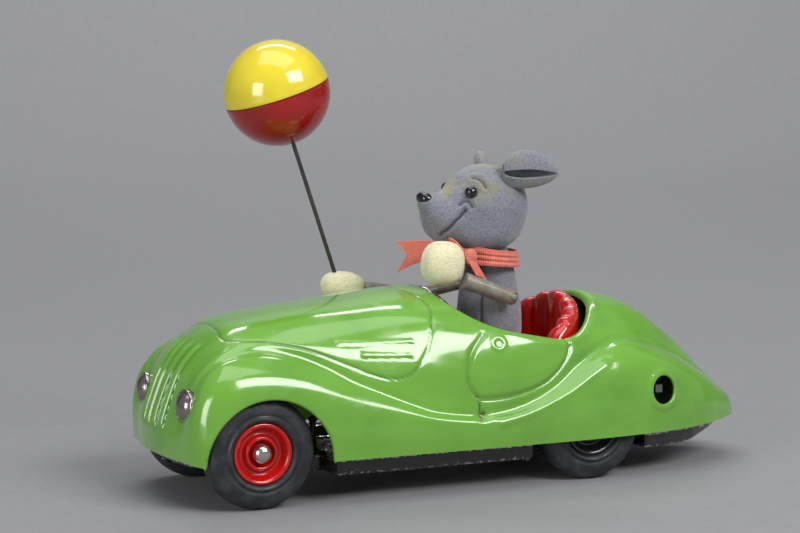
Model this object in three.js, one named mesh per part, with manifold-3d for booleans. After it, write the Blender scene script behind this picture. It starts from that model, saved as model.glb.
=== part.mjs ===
// Clockwork tin roadster with a felt mouse at the wheel, which holds a ball on a rod.
// Millimetres. +X is the car's front, +Y its left side, +Z up. Heights are measured with the axles at AXLE_Z, and
// the whole toy is then lifted until its tyres stand on z = 0.
// The origin is under the middle of the toy's box, so the car's mid-plane lies at y = MID_Y.

import * as THREE from "three";
import { mergeVertices } from "three/addons/utils/BufferGeometryUtils.js";
import Module from "manifold-3d";

// Driving dimensions
const MID_Y = 3.6;
const TIN = 0.9; // wall of the pressed body
const GAP = 0.3; // between pieces that touch
const SILL_Z = 8.2; // lower edge of the body

const FRONT_X = 53.4;
const REAR_X = -23.8;
const AXLE_Z = 10.5;
const TYRE_R = 11.8;
const TYRE_W = 7.6;
const RIM_R = 6.5;
const FRONT_TYRE_Y = 18.9;
const REAR_TYRE_Y = 17.9;
const AXLE_R = 1.0;
const ARCH = { x: 52.1, z: SILL_Z, r: 13.6 };

const KEY = { x: -41.2, z: 17.4, r: 3.1 };
const MODULE = 0.6;
const TEETH = { great: 32, secondPinion: 8, second: 20, axle: 12, governor: 8 };

const COCKPIT = { x: -10.9, length: 19.4, width: 20.0, power: 2.5 };
const SEAT_Z = 26.0;
const SEAT_TIN = 0.8;
const BASE = { low: 4.2, floor: 4.8, top: 7.9 };

const WHEEL = { x: 3.1, z: 35.0, r: 6.9 };
const COLUMN_END = { x: 33.5, z: 12.7 };

const TORSO = { x: -8.8, r: 6.9, top: 47.2 };
const SHOULDER = { x: -9.4, z: 38.4, y: 9.3 };
const RIGHT_SHOULDER = { x: -6.8, z: 39.4, y: -9.3 };
const BALL = { x: 33.5, y: -20, z: 82.4, r: 11.75 };
const RIGHT_HAND = { x: 17.9, y: -20, z: 38.8 };
const PUSH_X = RIGHT_SHOULDER.x + 1.8;
const LEFT_HAND = { x: 5.4, y: 6.2, z: 46.0 };

const ROUND = 24; // sides of a round piece

// Finishes: colour, roughness, metalness
const GREEN = [0x5fae3c, 0.28, 0.1];
const BLACK_TIN = [0x141416, 0.4, 0.3];
const RED = [0xb3100c, 0.25, 0.1];
const NICKEL = [0xc6c2b8, 0.25, 1.0];
const STEEL = [0x8d8d8c, 0.4, 1.0];
const BRASS = [0xb08a3c, 0.35, 1.0];
const RUBBER = [0x2c2c30, 0.8, 0.0];
const FELT = [0x7b8192, 1.0, 0.0];
const CREAM = [0xe9e2b8, 0.6, 0.0];
const CORAL = [0xe5796c, 0.8, 0.0];
const GREY_TIN = [0x8f8f86, 0.4, 0.2];
const BLACK_GLASS = [0x0a0a0a, 0.1, 0.0];
const YELLOW = [0xf0dc38, 0.25, 0.0];

const toy = new THREE.Group();
toy.position.set(0, MID_Y, TYRE_R - AXLE_Z);

// Solids

const wasm = await Module();
wasm.setup();

function solid(geometry) {
  const bare = geometry.clone();
  bare.deleteAttribute("normal");
  bare.deleteAttribute("uv");
  const merged = mergeVertices(bare, 1e-4);
  return new wasm.Manifold(new wasm.Mesh({
    numProp: 3,
    vertProperties: merged.attributes.position.array,
    triVerts: Uint32Array.from(merged.index.array),
  }));
}

function geometryOf(manifold) {
  const mesh = manifold.getMesh();
  const geometry = new THREE.BufferGeometry();
  geometry.setAttribute("position", new THREE.BufferAttribute(new Float32Array(mesh.vertProperties), 3));
  geometry.setIndex(new THREE.BufferAttribute(new Uint32Array(mesh.triVerts), 1));
  return geometry;
}

function cut(geometry, ...tools) {
  let result = solid(outward(geometry));
  for (const tool of tools) result = result.subtract(solid(outward(tool)));
  return geometryOf(result);
}

function join(geometry, ...others) {
  let result = solid(outward(geometry));
  for (const other of others) result = result.add(solid(outward(other)));
  return geometryOf(result);
}

// Turns a closed surface so that its faces point out.
function outward(geometry) {
  const bare = geometry.index ? geometry : mergeVertices(geometry, 1e-5);
  const p = bare.attributes.position;
  const index = bare.index.array;
  const [a, b, c] = [new THREE.Vector3(), new THREE.Vector3(), new THREE.Vector3()];
  let volume = 0;
  for (let i = 0; i < index.length; i += 3) {
    a.fromBufferAttribute(p, index[i]);
    b.fromBufferAttribute(p, index[i + 1]);
    c.fromBufferAttribute(p, index[i + 2]);
    volume += a.dot(b.cross(c));
  }
  if (volume < 0) {
    for (let i = 0; i < index.length; i += 3) [index[i], index[i + 1]] = [index[i + 1], index[i]];
  }
  return bare;
}

function piece(name, geometry, [color, roughness, metalness]) {
  const material = new THREE.MeshStandardMaterial({ color, roughness, metalness });
  const mesh = new THREE.Mesh(outward(geometry), material);
  mesh.name = name;
  toy.add(mesh);
  return mesh;
}

function box(x0, x1, y0, y1, z0, z1) {
  const geometry = new THREE.BoxGeometry(x1 - x0, y1 - y0, z1 - z0);
  return geometry.translate((x0 + x1) / 2, (y0 + y1) / 2, (z0 + z1) / 2);
}

// A round bar along Y between two widths.
function barY(x, z, r, y0, y1, sides = 16) {
  return new THREE.CylinderGeometry(r, r, y1 - y0, sides).translate(x, (y0 + y1) / 2, z);
}

function barBetween(from, to, r, sides = 12) {
  const along = to.clone().sub(from);
  const geometry = new THREE.CylinderGeometry(r, r, along.length(), sides);
  const up = new THREE.Vector3(0, 1, 0);
  const turn = new THREE.Quaternion().setFromUnitVectors(up, along.clone().normalize());
  return geometry.applyQuaternion(turn).translate(...from.clone().add(to).multiplyScalar(0.5).toArray());
}

// A closed flat shape through the given points.
function outline(points) {
  const shape = new THREE.Shape();
  points.forEach(([x, y], i) => (i ? shape.lineTo(x, y) : shape.moveTo(x, y)));
  shape.closePath();
  return shape;
}

// A shape drawn in X and Z, as thick as the plate it is stamped from.
function plateXZ(shape, y0, thickness) {
  const geometry = new THREE.ExtrudeGeometry(shape, { depth: thickness, bevelEnabled: false });
  return geometry.rotateX(Math.PI / 2).translate(0, y0 + thickness, 0);
}

// A shape drawn in X and Y, raised from z0 to z1.
function prism(shape, z0, z1) {
  return new THREE.ExtrudeGeometry(shape, { depth: z1 - z0, bevelEnabled: false }).translate(0, 0, z0);
}

function roundHole(x, z, r, sides = 16) {
  const path = new THREE.Path();
  for (let i = 0; i < sides; i++) {
    const angle = (-2 * Math.PI * i) / sides;
    const [px, pz] = [x + r * Math.cos(angle), z + r * Math.sin(angle)];
    if (i) path.lineTo(px, pz);
    else path.moveTo(px, pz);
  }
  return path;
}

// A profile of [radius, height] points turned about Y, and one turned about Z.
function turnedY(points, x, z, sides = ROUND) {
  const profile = points.map(([r, y]) => new THREE.Vector2(r, y));
  return new THREE.LatheGeometry(profile, sides).translate(x, 0, z);
}

function turnedZ(points, x, y, sides = ROUND) {
  const profile = points.map(([r, z]) => new THREE.Vector2(r, z));
  return new THREE.LatheGeometry(profile, sides).rotateX(Math.PI / 2).translate(x, y, 0);
}

function ball(x, y, z, [rx, ry, rz], sides = 14) {
  return new THREE.SphereGeometry(1, sides, sides / 2).scale(rx, ry, rz).translate(x, y, z);
}

// Body surface: cross-sections from the nose to the tail. Each lists seven points of the left half,
// from the sill up: sill, side, fender, valley, flank, shoulder, crown.

function section(x, ...points) {
  return points.map(([y, z]) => new THREE.Vector3(x, y, z));
}

function row(...points) {
  return points.map(([x, y, z]) => new THREE.Vector3(x, y, z));
}

const SECTIONS = [
  row([68.2, 16.8, 8.8], [68.4, 15.4, 8.8], [68.7, 13.6, 8.8], [69.1, 11.2, 8.8], [69.5, 8.4, 8.8],
    [69.9, 4.6, 8.8], [70.1, 0, 8.8]),
  row([67.9, 18.4, 8.7], [68.2, 17.6, 10.8], [68.4, 16.4, 12.8], [68.5, 13.8, 13.8], [69.0, 10.6, 14.2],
    [70.0, 5.6, 14.4], [70.4, 0, 14.4]),
  row([67.0, 20.6, 8.6], [67.5, 20.2, 13.0], [67.7, 18.8, 17.6], [66.9, 15.0, 20.2], [67.0, 11.4, 20.6],
    [68.2, 6.2, 20.4], [68.8, 0, 20.2]),
  row([65.2, 22.6, 8.4], [65.7, 22.3, 15.2], [65.6, 20.4, 22.6], [64.6, 15.6, 26.0], [64.4, 11.8, 26.6],
    [65.4, 6.8, 26.6], [66.0, 0, 26.4]),
  row([62.0, 23.8, 8.3], [62.2, 23.7, 16.4], [61.8, 21.7, 25.6], [60.6, 15.9, 29.6], [60.2, 12.4, 30.6],
    [60.8, 7.4, 31.4], [61.4, 0, 31.8]),
  section(55, [24.2, 8.2], [24.3, 17.2], [22.2, 26.6], [16.3, 31.0], [13.6, 32.8], [8.6, 34.8], [0, 35.6]),
  section(44, [24.3, 8.2], [24.4, 16.6], [22.8, 24.6], [17.8, 29.4], [16.0, 32.3], [10.6, 36.2], [0, 37.6]),
  section(30, [24.3, 8.2], [24.5, 14.0], [23.7, 19.2], [21.0, 23.4], [18.6, 30.0], [12.6, 36.8], [0, 39.0]),
  section(16, [24.3, 8.2], [24.5, 12.4], [24.2, 15.6], [22.5, 18.8], [20.7, 27.2], [15.2, 36.4], [0, 40.6]),
  section(3, [24.3, 8.2], [24.5, 11.4], [24.3, 13.8], [23.1, 16.4], [22.4, 24.0], [18.2, 33.6], [0, 41.2]),
  section(-9, [24.3, 8.2], [24.5, 12.2], [24.2, 15.4], [22.7, 18.2], [22.2, 24.0], [18.8, 32.9], [0, 40.7]),
  section(-20, [24.1, 8.2], [24.3, 14.6], [23.5, 20.4], [20.9, 24.0], [20.0, 27.4], [16.6, 33.6], [0, 40.1]),
  section(-31, [23.4, 8.2], [23.4, 16.4], [21.8, 24.4], [17.2, 28.6], [15.2, 30.6], [9.6, 35.8], [0, 38.0]),
  section(-42, [21.8, 8.2], [21.5, 16.0], [19.6, 23.4], [13.8, 27.0], [11.6, 28.8], [7.0, 33.0], [0, 34.8]),
  section(-53, [18.2, 8.2], [17.7, 14.2], [15.6, 19.4], [10.2, 22.2], [8.2, 23.4], [4.6, 26.0], [0, 27.2]),
  section(-62, [12.6, 8.2], [12.0, 12.0], [10.6, 14.6], [7.0, 16.4], [5.4, 17.0], [3.0, 18.2], [0, 18.8]),
  section(-67.6, [7.6, 8.2], [7.2, 10.2], [6.4, 11.6], [4.4, 12.5], [3.3, 12.8], [1.8, 13.3], [0, 13.5]),
  row([-69.3, 5.0, 8.2], [-69.7, 4.0, 8.2], [-70.0, 3.2, 8.2], [-70.3, 2.4, 8.2], [-70.5, 1.6, 8.2],
    [-70.7, 0.8, 8.2], [-70.8, 0, 8.2]),
];

const GUIDES = SECTIONS[0].map((_, j) => {
  return new THREE.CatmullRomCurve3(SECTIONS.map((s) => s[j]), false, "centripetal");
});

// The full cross-section at a place along the body, as one curve from the left sill to the right.
function crossSection(along) {
  const left = GUIDES.map((guide) => guide.getPoint(along));
  const right = left.slice(0, -1).reverse().map((p) => new THREE.Vector3(p.x, -p.y, p.z));
  return new THREE.CatmullRomCurve3([...left, ...right], false, "centripetal");
}

// The body's skin moved inward, closed by a floor that lies drop below the sill.
function bodySolid(inset, drop) {
  const lengthSteps = (SECTIONS.length - 1) * 2;
  const widthSteps = 20;
  const step = 1e-3;
  const points = [];
  for (let i = 0; i <= lengthSteps; i++) {
    const u = i / lengthSteps;
    const here = crossSection(u);
    const ahead = crossSection(Math.min(1, u + step));
    const behind = crossSection(Math.max(0, u - step));
    for (let j = 0; j <= widthSteps; j++) {
      const v = j / widthSteps;
      const alongU = ahead.getPoint(v).sub(behind.getPoint(v));
      const alongV = here.getPoint(Math.min(1, v + step)).sub(here.getPoint(Math.max(0, v - step)));
      const normal = alongU.cross(alongV).normalize();
      points.push(here.getPoint(v).addScaledVector(normal, -inset));
    }
  }
  const across = widthSteps + 1;
  const edge = [];
  for (let i = 0; i < lengthSteps; i++) edge.push(i * across);
  for (let j = 0; j < widthSteps; j++) edge.push(lengthSteps * across + j);
  for (let i = lengthSteps; i > 0; i--) edge.push(i * across + widthSteps);
  for (let j = widthSteps; j > 0; j--) edge.push(j);
  const faces = [];
  for (let i = 0; i < lengthSteps; i++) {
    for (let j = 0; j < widthSteps; j++) {
      const a = i * across + j;
      faces.push(a, a + 1, a + across, a + 1, a + across + 1, a + across);
    }
  }
  const lower = edge.map((k) => points.push(new THREE.Vector3(points[k].x, points[k].y, SILL_Z - drop)) - 1);
  const middle = points.push(new THREE.Vector3(0, 0, SILL_Z - drop)) - 1;
  edge.forEach((k, n) => {
    const next = (n + 1) % edge.length;
    faces.push(k, edge[next], lower[n], edge[next], lower[next], lower[n]);
    faces.push(lower[n], lower[next], middle);
  });
  const geometry = new THREE.BufferGeometry();
  geometry.setAttribute("position", new THREE.Float32BufferAttribute(points.flatMap((p) => p.toArray()), 3));
  geometry.setIndex(faces);
  return outward(geometry);
}

// A rounded rectangle: power 2 is an ellipse, and higher powers have squarer corners.
function superellipse(length, width, power, x, count = 40) {
  const points = [];
  for (let i = 0; i < count; i++) {
    const angle = (2 * Math.PI * i) / count;
    const [c, s] = [Math.cos(angle), Math.sin(angle)];
    const px = x + length * Math.sign(c) * Math.abs(c) ** (2 / power);
    const py = width * Math.sign(s) * Math.abs(s) ** (2 / power);
    points.push([px, py]);
  }
  return outline(points);
}

function bodyShell() {
  const opening = superellipse(COCKPIT.length, COCKPIT.width, COCKPIT.power, COCKPIT.x);
  piece("body_shell", cut(
    bodySolid(0, 0),
    bodySolid(TIN, 6),
    prism(opening, 28, 50),
    barY(ARCH.x, ARCH.z, ARCH.r, 17, 27, 40),
    barY(ARCH.x, ARCH.z, ARCH.r, -27, -17, 40),
    barY(KEY.x, KEY.z, KEY.r, 14, 27, 24),
  ), GREEN);
}

function headlights() {
  const lens = [[0, 0], [3.4, 0], [3.5, 0.5], [2.8, 1.5], [1.5, 2.2], [0, 2.4]];
  for (const [name, side] of [["headlight_left", 1], ["headlight_right", -1]]) {
    const profile = lens.map(([r, x]) => new THREE.Vector2(r, x));
    const lamp = new THREE.LatheGeometry(profile, 20).rotateZ(-Math.PI / 2);
    const turn = new THREE.Euler(0, -0.12, side * 0.12);
    const aimed = lamp.applyQuaternion(new THREE.Quaternion().setFromEuler(turn));
    const dome = aimed.translate(66.6, side * 13.3, 19.7);
    piece(name, cut(dome, bodySolid(-GAP / 2, 0)), NICKEL);
  }
}

// Tray under the car: its outline steps in beside the wheels.
function trayShape(inset) {
  const half = [
    [67.4, 0], [67.0, 6.5], [65.6, 13.6], [37.4, 13.6], [36.4, 20.6], [-9.8, 20.6], [-10.8, 13.4],
    [-36.8, 13.4], [-37.6, 20.0], [-44.0, 18.6], [-52.0, 16.0], [-59.0, 11.6], [-64.6, 6.6], [-68.4, 0],
  ];
  const inward = [
    [-1, 0], [-1, -0.4], [-1, -1], [-1, -1], [-1, -1], [1, -1], [1, -1],
    [-1, -1], [-1, -1], [0.2, -1], [0.4, -1], [0.5, -0.9], [0.8, -0.7], [1, 0],
  ];
  const moved = half.map(([x, y], i) => [x + inset * inward[i][0], y + inset * inward[i][1]]);
  const mirrored = moved.slice(1, -1).reverse().map(([x, y]) => [x, -y]);
  return outline([...moved, ...mirrored]);
}

function basePlate() {
  const tray = cut(
    prism(trayShape(0), BASE.low, BASE.top),
    prism(trayShape(0.6), BASE.floor, BASE.top + 1),
    box(-23.5, -13.5, 9.0, 11.0, BASE.low - 1, BASE.floor + 1),
    new THREE.CylinderGeometry(1.1, 1.1, 4, 12).rotateX(Math.PI / 2).translate(FRONT_X, 0, BASE.low),
  );
  piece("base_plate", tray, BLACK_TIN);
}

// Seat: a bench with a fluted back that curves round the rear of the cockpit, trimmed below the rim.
const SEAT_BACK = { length: 16.9, width: 17.6, flutes: 11, fluteDepth: 0.7, thickness: 2.7 };

// Points round the seat back, scaled towards the cockpit's middle so that the flutes stand proud.
function seatArc(shrinkAt) {
  const steps = SEAT_BACK.flutes * 3;
  const points = [];
  for (let i = 0; i <= steps; i++) {
    const angle = Math.PI * (0.56 + (0.88 * i) / steps);
    const [c, s] = [Math.cos(angle), Math.sin(angle)];
    const scale = shrinkAt(Math.abs(Math.sin((Math.PI * SEAT_BACK.flutes * i) / steps)));
    const x = SEAT_BACK.length * Math.abs(c) ** 0.8 * Math.sign(c) * scale;
    points.push([COCKPIT.x + x, SEAT_BACK.width * Math.abs(s) ** 0.8 * Math.sign(s) * scale]);
  }
  return points;
}

function seat() {
  const { length, thickness, fluteDepth } = SEAT_BACK;
  const outer = seatArc(() => 1);
  const inner = seatArc((crest) => (length - thickness - fluteDepth * crest) / length);
  const wall = prism(outline([...outer, ...inner.reverse()]), SEAT_Z - SEAT_TIN, 42);
  const back = geometryOf(solid(outward(wall)).intersect(solid(bodySolid(1.6, 0))));
  const bench = superellipse(15.2, 15.6, 2.6, COCKPIT.x, 32);
  const hole = new THREE.CylinderGeometry(1.8, 1.8, 4, 12).rotateX(Math.PI / 2);
  const cushion = cut(prism(bench, SEAT_Z - SEAT_TIN, SEAT_Z), hole.translate(PUSH_X, -3, SEAT_Z));
  piece("seat", join(back, cushion), RED);
}

// Steering
const columnTop = new THREE.Vector3(WHEEL.x, 0, WHEEL.z);
const columnFoot = new THREE.Vector3(COLUMN_END.x, 0, COLUMN_END.z);
const columnAxis = columnFoot.clone().sub(columnTop).normalize();

function steering() {
  const turn = new THREE.Quaternion().setFromUnitVectors(new THREE.Vector3(0, 0, 1), columnAxis);
  const ring = new THREE.TorusGeometry(WHEEL.r, 0.6, 6, 24);
  const hub = new THREE.CylinderGeometry(1.7, 1.7, 1.2, 16).rotateX(Math.PI / 2);
  const spokes = [0, 1, 2].map((k) => {
    const bar = new THREE.BoxGeometry(WHEEL.r, 0.9, 0.5).translate(WHEEL.r / 2, 0, 0);
    return bar.rotateZ((2 * Math.PI * k) / 3);
  });
  const bore = new THREE.CylinderGeometry(0.5, 0.5, 3, 12).rotateX(Math.PI / 2);
  const wheel = cut(join(ring, hub, ...spokes), bore).applyQuaternion(turn);
  piece("steering_wheel", wheel.translate(...columnTop.toArray()), NICKEL);
  const start = columnTop.clone().addScaledVector(columnAxis, 0.6 + GAP);
  const shaft = barBetween(start, columnFoot, 0.8, 12);
  const pin = barBetween(columnFoot, new THREE.Vector3(COLUMN_END.x, 0, BASE.floor + 0.6), 0.7, 10);
  const elbow = ball(COLUMN_END.x, 0, COLUMN_END.z, [0.95, 0.95, 0.95], 12);
  piece("steering_column", join(shaft, pin, elbow), STEEL);
}

function frontAxle() {
  const low = BASE.floor + 0.5;
  const floor = outline([
    [56.4, 11.8], [56.4, -11.8], [50.4, -11.8], [50.4, -3.2], [31.5, -3.2], [31.5, -1.3], [37.2, -1.3],
    [37.2, 1.3], [31.5, 1.3], [31.5, 3.2], [50.4, 3.2], [50.4, 11.8],
  ]);
  const pieces = [box(50.4, 56.4, 11, 11.8, low, 13), box(50.4, 56.4, -11.8, -11, low, 13)];
  const bracket = cut(
    join(prism(floor, low, low + 0.8), ...pieces),
    barY(FRONT_X, AXLE_Z, AXLE_R + 0.08, -14, 14, 24),
    new THREE.CylinderGeometry(1.1, 1.1, 4, 12).rotateX(Math.PI / 2).translate(FRONT_X, 0, low),
  );
  piece("axle_bracket", bracket, STEEL);
  const rivet = [[0, 3.4], [1.8, 3.4], [1.8, 3.9], [0.9, 3.9], [0.9, 6.5], [1.9, 6.5], [1.6, 7.2], [0, 7.3]];
  piece("kingpin_rivet", turnedZ(rivet, FRONT_X, 0, 20), STEEL);
  piece("front_axle", barY(FRONT_X, AXLE_Z, AXLE_R, -21.0, 21.0, 24), STEEL);
}

// Wheels: profiles of [radius, distance outward from the tyre's middle].
const TYRE_PROFILE = [
  [RIM_R + GAP, -2.9], [8.6, -TYRE_W / 2], [TYRE_R - 0.8, -2.8], [TYRE_R, -0.6], [TYRE_R, 0.6],
  [TYRE_R - 0.8, 2.8], [8.6, TYRE_W / 2], [RIM_R + GAP, 2.9], [RIM_R + GAP, -2.9],
];
const DISC_PROFILE = [
  [AXLE_R + 0.08, -2.2], [RIM_R, -2.2], [RIM_R, 3.0], [RIM_R - 0.7, 3.0], [RIM_R - 1.5, 1.8],
  [AXLE_R + 0.08, 1.6], [AXLE_R + 0.08, -2.2],
];

function wheel(prefix, side, x, y, discFinish, sideName) {
  const place = (profile) => turnedY(profile.map(([r, t]) => [r, side * (y + t)]), x, AXLE_Z);
  piece(`${prefix}_tyre_${sideName}`, place(TYRE_PROFILE), RUBBER);
  piece(`${prefix}_wheel_${sideName}`, place(DISC_PROFILE), discFinish);
}

function frontWheels() {
  const cap = [[0, 2.25], [1.7, 2.25], [2.1, 2.5], [2.0, 3.3], [1.3, 4.0], [0, 4.3]];
  for (const [name, side] of [["left", 1], ["right", -1]]) {
    wheel("front", side, FRONT_X, FRONT_TYRE_Y, RED, name);
    const profile = cap.map(([r, t]) => [r, side * (FRONT_TYRE_Y + t)]);
    piece(`hub_cap_${name}`, turnedY(profile, FRONT_X, AXLE_Z, 20), NICKEL);
  }
}

function rearWheels() {
  const bore = AXLE_R + 0.08;
  const boss = [[bore, 1.9], [2.9, 1.9], [2.9, 2.6], [2.2, 3.2], [bore, 3.2], [bore, 1.9]];
  for (const [name, side] of [["left", 1], ["right", -1]]) {
    wheel("rear", side, REAR_X, REAR_TYRE_Y, BLACK_TIN, name);
    const profile = boss.map(([r, t]) => [r, side * (REAR_TYRE_Y + t)]);
    piece(`rear_boss_${name}`, turnedY(profile, REAR_X, AXLE_Z, 20), BRASS);
  }
  piece("rear_axle", barY(REAR_X, AXLE_Z, AXLE_R, -21.2, 21.2, 24), STEEL);
}

// Clockwork
function gearShape(x, z, teeth, phase, bore) {
  const pitch = (MODULE * teeth) / 2;
  const tip = pitch + 0.75 * MODULE;
  const root = pitch - 1.05 * MODULE;
  const toothPitch = Math.PI * MODULE;
  const corners = [[root, -0.25], [tip, -0.11], [tip, 0.11], [root, 0.25]];
  const points = [];
  for (let i = 0; i < teeth; i++) {
    const middle = phase + (2 * Math.PI * i) / teeth;
    for (const [r, share] of corners) {
      const angle = middle + (share * toothPitch) / r;
      points.push([x + r * Math.cos(angle), z + r * Math.sin(angle)]);
    }
  }
  const shape = outline(points);
  if (bore) shape.holes.push(roundHole(x, z, bore));
  return shape;
}

const angleTo = (from, to) => Math.atan2(to.z - from.z, to.x - from.x);
const reach = (a, b) => (MODULE * (TEETH[a] + TEETH[b])) / 2;
const AXLE = { x: REAR_X, z: AXLE_Z };

// The second arbor stands above the line from the winding arbor to the axle, in mesh with both.
function secondArbor() {
  const [fromKey, fromAxle] = [reach("great", "secondPinion"), reach("second", "axle")];
  const apart = Math.hypot(AXLE.x - KEY.x, AXLE.z - KEY.z);
  const lean = Math.acos((fromKey ** 2 + apart ** 2 - fromAxle ** 2) / (2 * fromKey * apart));
  const angle = angleTo(KEY, AXLE) + lean;
  return { x: KEY.x + fromKey * Math.cos(angle), z: KEY.z + fromKey * Math.sin(angle) };
}

const SECOND = secondArbor();
const GOVERNOR_ANGLE = -0.09;
const GOVERNOR = {
  x: SECOND.x + reach("second", "governor") * Math.cos(GOVERNOR_ANGLE),
  z: SECOND.z + reach("second", "governor") * Math.sin(GOVERNOR_ANGLE),
};

function gearTrain() {
  const arborR = 1.2;
  const greatPhase = angleTo(KEY, SECOND);
  const great = gearShape(KEY.x, KEY.z, TEETH.great, greatPhase, arborR + 0.08);
  piece("great_wheel", plateXZ(great, 1.6, 0.9), BRASS);
  piece("click", plateXZ(clickShape(), 0.4, 0.8), STEEL);
  const squareEnd = box(KEY.x - 0.85, KEY.x + 0.85, 9.6, 19.4, KEY.z - 0.85, KEY.z + 0.85);
  piece("winding_arbor", join(barY(KEY.x, KEY.z, arborR, -9.6, 10, 20), squareEnd), STEEL);
  piece("ratchet_wheel", plateXZ(ratchetShape(arborR + 0.08), 0.4, 0.8), STEEL);

  const pinionPhase = angleTo(SECOND, KEY) + Math.PI / TEETH.secondPinion;
  const pinion = gearShape(SECOND.x, SECOND.z, TEETH.secondPinion, pinionPhase);
  const arbor = barY(SECOND.x, SECOND.z, 0.8, -9.6, 9.6, 16);
  piece("second_pinion", join(plateXZ(pinion, 1.0, 2.2), arbor), STEEL);
  const secondPhase = angleTo(SECOND, AXLE);
  const second = gearShape(SECOND.x, SECOND.z, TEETH.second, secondPhase, 0.88);
  piece("second_wheel", plateXZ(second, 4.0, 0.9), BRASS);

  const axlePhase = angleTo(AXLE, SECOND) + Math.PI / TEETH.axle;
  const axleGear = gearShape(AXLE.x, AXLE.z, TEETH.axle, axlePhase, AXLE_R + 0.08);
  piece("axle_pinion", plateXZ(axleGear, 3.5, 2.0), BRASS);

  const spacing = angleTo(SECOND, GOVERNOR) - secondPhase;
  const lag = (spacing * TEETH.second) / TEETH.governor;
  const governorPhase = angleTo(GOVERNOR, SECOND) + lag + Math.PI / TEETH.governor;
  const drive = gearShape(GOVERNOR.x, GOVERNOR.z, TEETH.governor, governorPhase);
  const spindle = barY(GOVERNOR.x, GOVERNOR.z, 0.7, -9.6, 9.6, 14);
  piece("governor_pinion", join(plateXZ(drive, 3.5, 2.0), spindle), STEEL);
  const flywheel = [[0.78, 6.2], [3.6, 6.2], [3.6, 7.2], [0.78, 7.2], [0.78, 6.2]];
  piece("governor_disc", turnedY(flywheel, GOVERNOR.x, GOVERNOR.z, 24), BRASS);
}

function ratchetShape(bore) {
  const teeth = 12;
  const points = [];
  for (let i = 0; i < teeth; i++) {
    const start = (2 * Math.PI * i) / teeth;
    const end = (2 * Math.PI * (i + 0.92)) / teeth;
    for (const [r, t] of [[4.4, start], [3.5, end]]) {
      points.push([KEY.x + r * Math.cos(t), KEY.z + r * Math.sin(t)]);
    }
  }
  const shape = outline(points);
  shape.holes.push(roundHole(KEY.x, KEY.z, bore));
  return shape;
}

// Flat spring click, riveted to the great wheel just clear of the ratchet's tips.
function clickShape() {
  const points = [
    [-5.6, 2.2], [-4.6, 2.2], [-4.2, 5.4], [-1.0, 7.2], [0.6, 5.2], [1.2, 5.6], [-0.6, 8.2], [-5.2, 6.4],
  ];
  return outline(points.map(([x, z]) => [KEY.x + x, KEY.z + z]));
}

function mainspring() {
  const turns = 5;
  const perTurn = 12;
  const steps = turns * perTurn;
  const strip = 0.35;
  const radius = (i) => 2.2 + (6.4 * i) / steps;
  const at = (i, offset) => {
    const angle = (2 * Math.PI * i) / perTurn;
    const r = radius(i) + offset;
    return [KEY.x + r * Math.cos(angle), KEY.z + r * Math.sin(angle)];
  };
  const count = Array.from({ length: steps + 1 }, (_, i) => i);
  const inner = count.map((i) => at(i, 0));
  const outer = count.map((i) => at(i, strip)).reverse();
  piece("mainspring", plateXZ(outline([...inner, ...outer]), -7, 6), STEEL);
}

function motorFrame() {
  const sheet = [[-50.4, 5.1], [-50.4, 19], [-44.5, 26], [-36, 27.2], [-31.4, 27.2], [-25, 22.6],
    [-16.2, 22.6], [-16.2, 5.1]];
  const bearings = [[KEY, 1.3], [SECOND, 0.9], [GOVERNOR, 0.8], [AXLE, AXLE_R + 0.1]];
  const pillars = [[-49.0, 6.4], [-33.0, 25.8], [-17.6, 7.2], [-34.6, 6.8]];
  for (const [name, y0] of [["motor_plate_left", 8], ["motor_plate_right", -8.8]]) {
    const holes = bearings.map(([centre, r]) => barY(centre.x, centre.z, r, y0 - 1, y0 + 2, 16));
    piece(name, cut(plateXZ(outline(sheet), y0, 0.8), ...holes), STEEL);
  }
  pillars.forEach(([x, z], i) => {
    piece(`motor_pillar_${i + 1}`, barY(x, z, 1.1, -8 + GAP, 8 - GAP, 12), STEEL);
  });
}

// Stop lever: its tail comes out through a slot in the tray.
function stopLever() {
  const lever = outline([[-20.6, 14.6], [-18.6, 14.6], [-17.9, 10], [-17.6, 2.4], [-19.2, 2.4], [-19.6, 10]]);
  piece("stop_lever", plateXZ(lever, 9.6, 0.8), STEEL);
}

// Mouse
function headGeometry() {
  const profile = [[0, 0], [4.4, 0.9], [7.4, 3.2], [9.0, 6.4], [9.4, 10], [8.7, 13.6], [6.9, 17], [4.6, 20],
    [3.0, 22.2], [2.0, 23.4], [0, 23.8]];
  const lathe = new THREE.LatheGeometry(profile.map(([r, t]) => new THREE.Vector2(r, t)), 24);
  const tilt = THREE.MathUtils.degToRad(8);
  return lathe.rotateZ(-Math.PI / 2).rotateY(-tilt).translate(-17.2, 0, 55.9);
}

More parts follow.
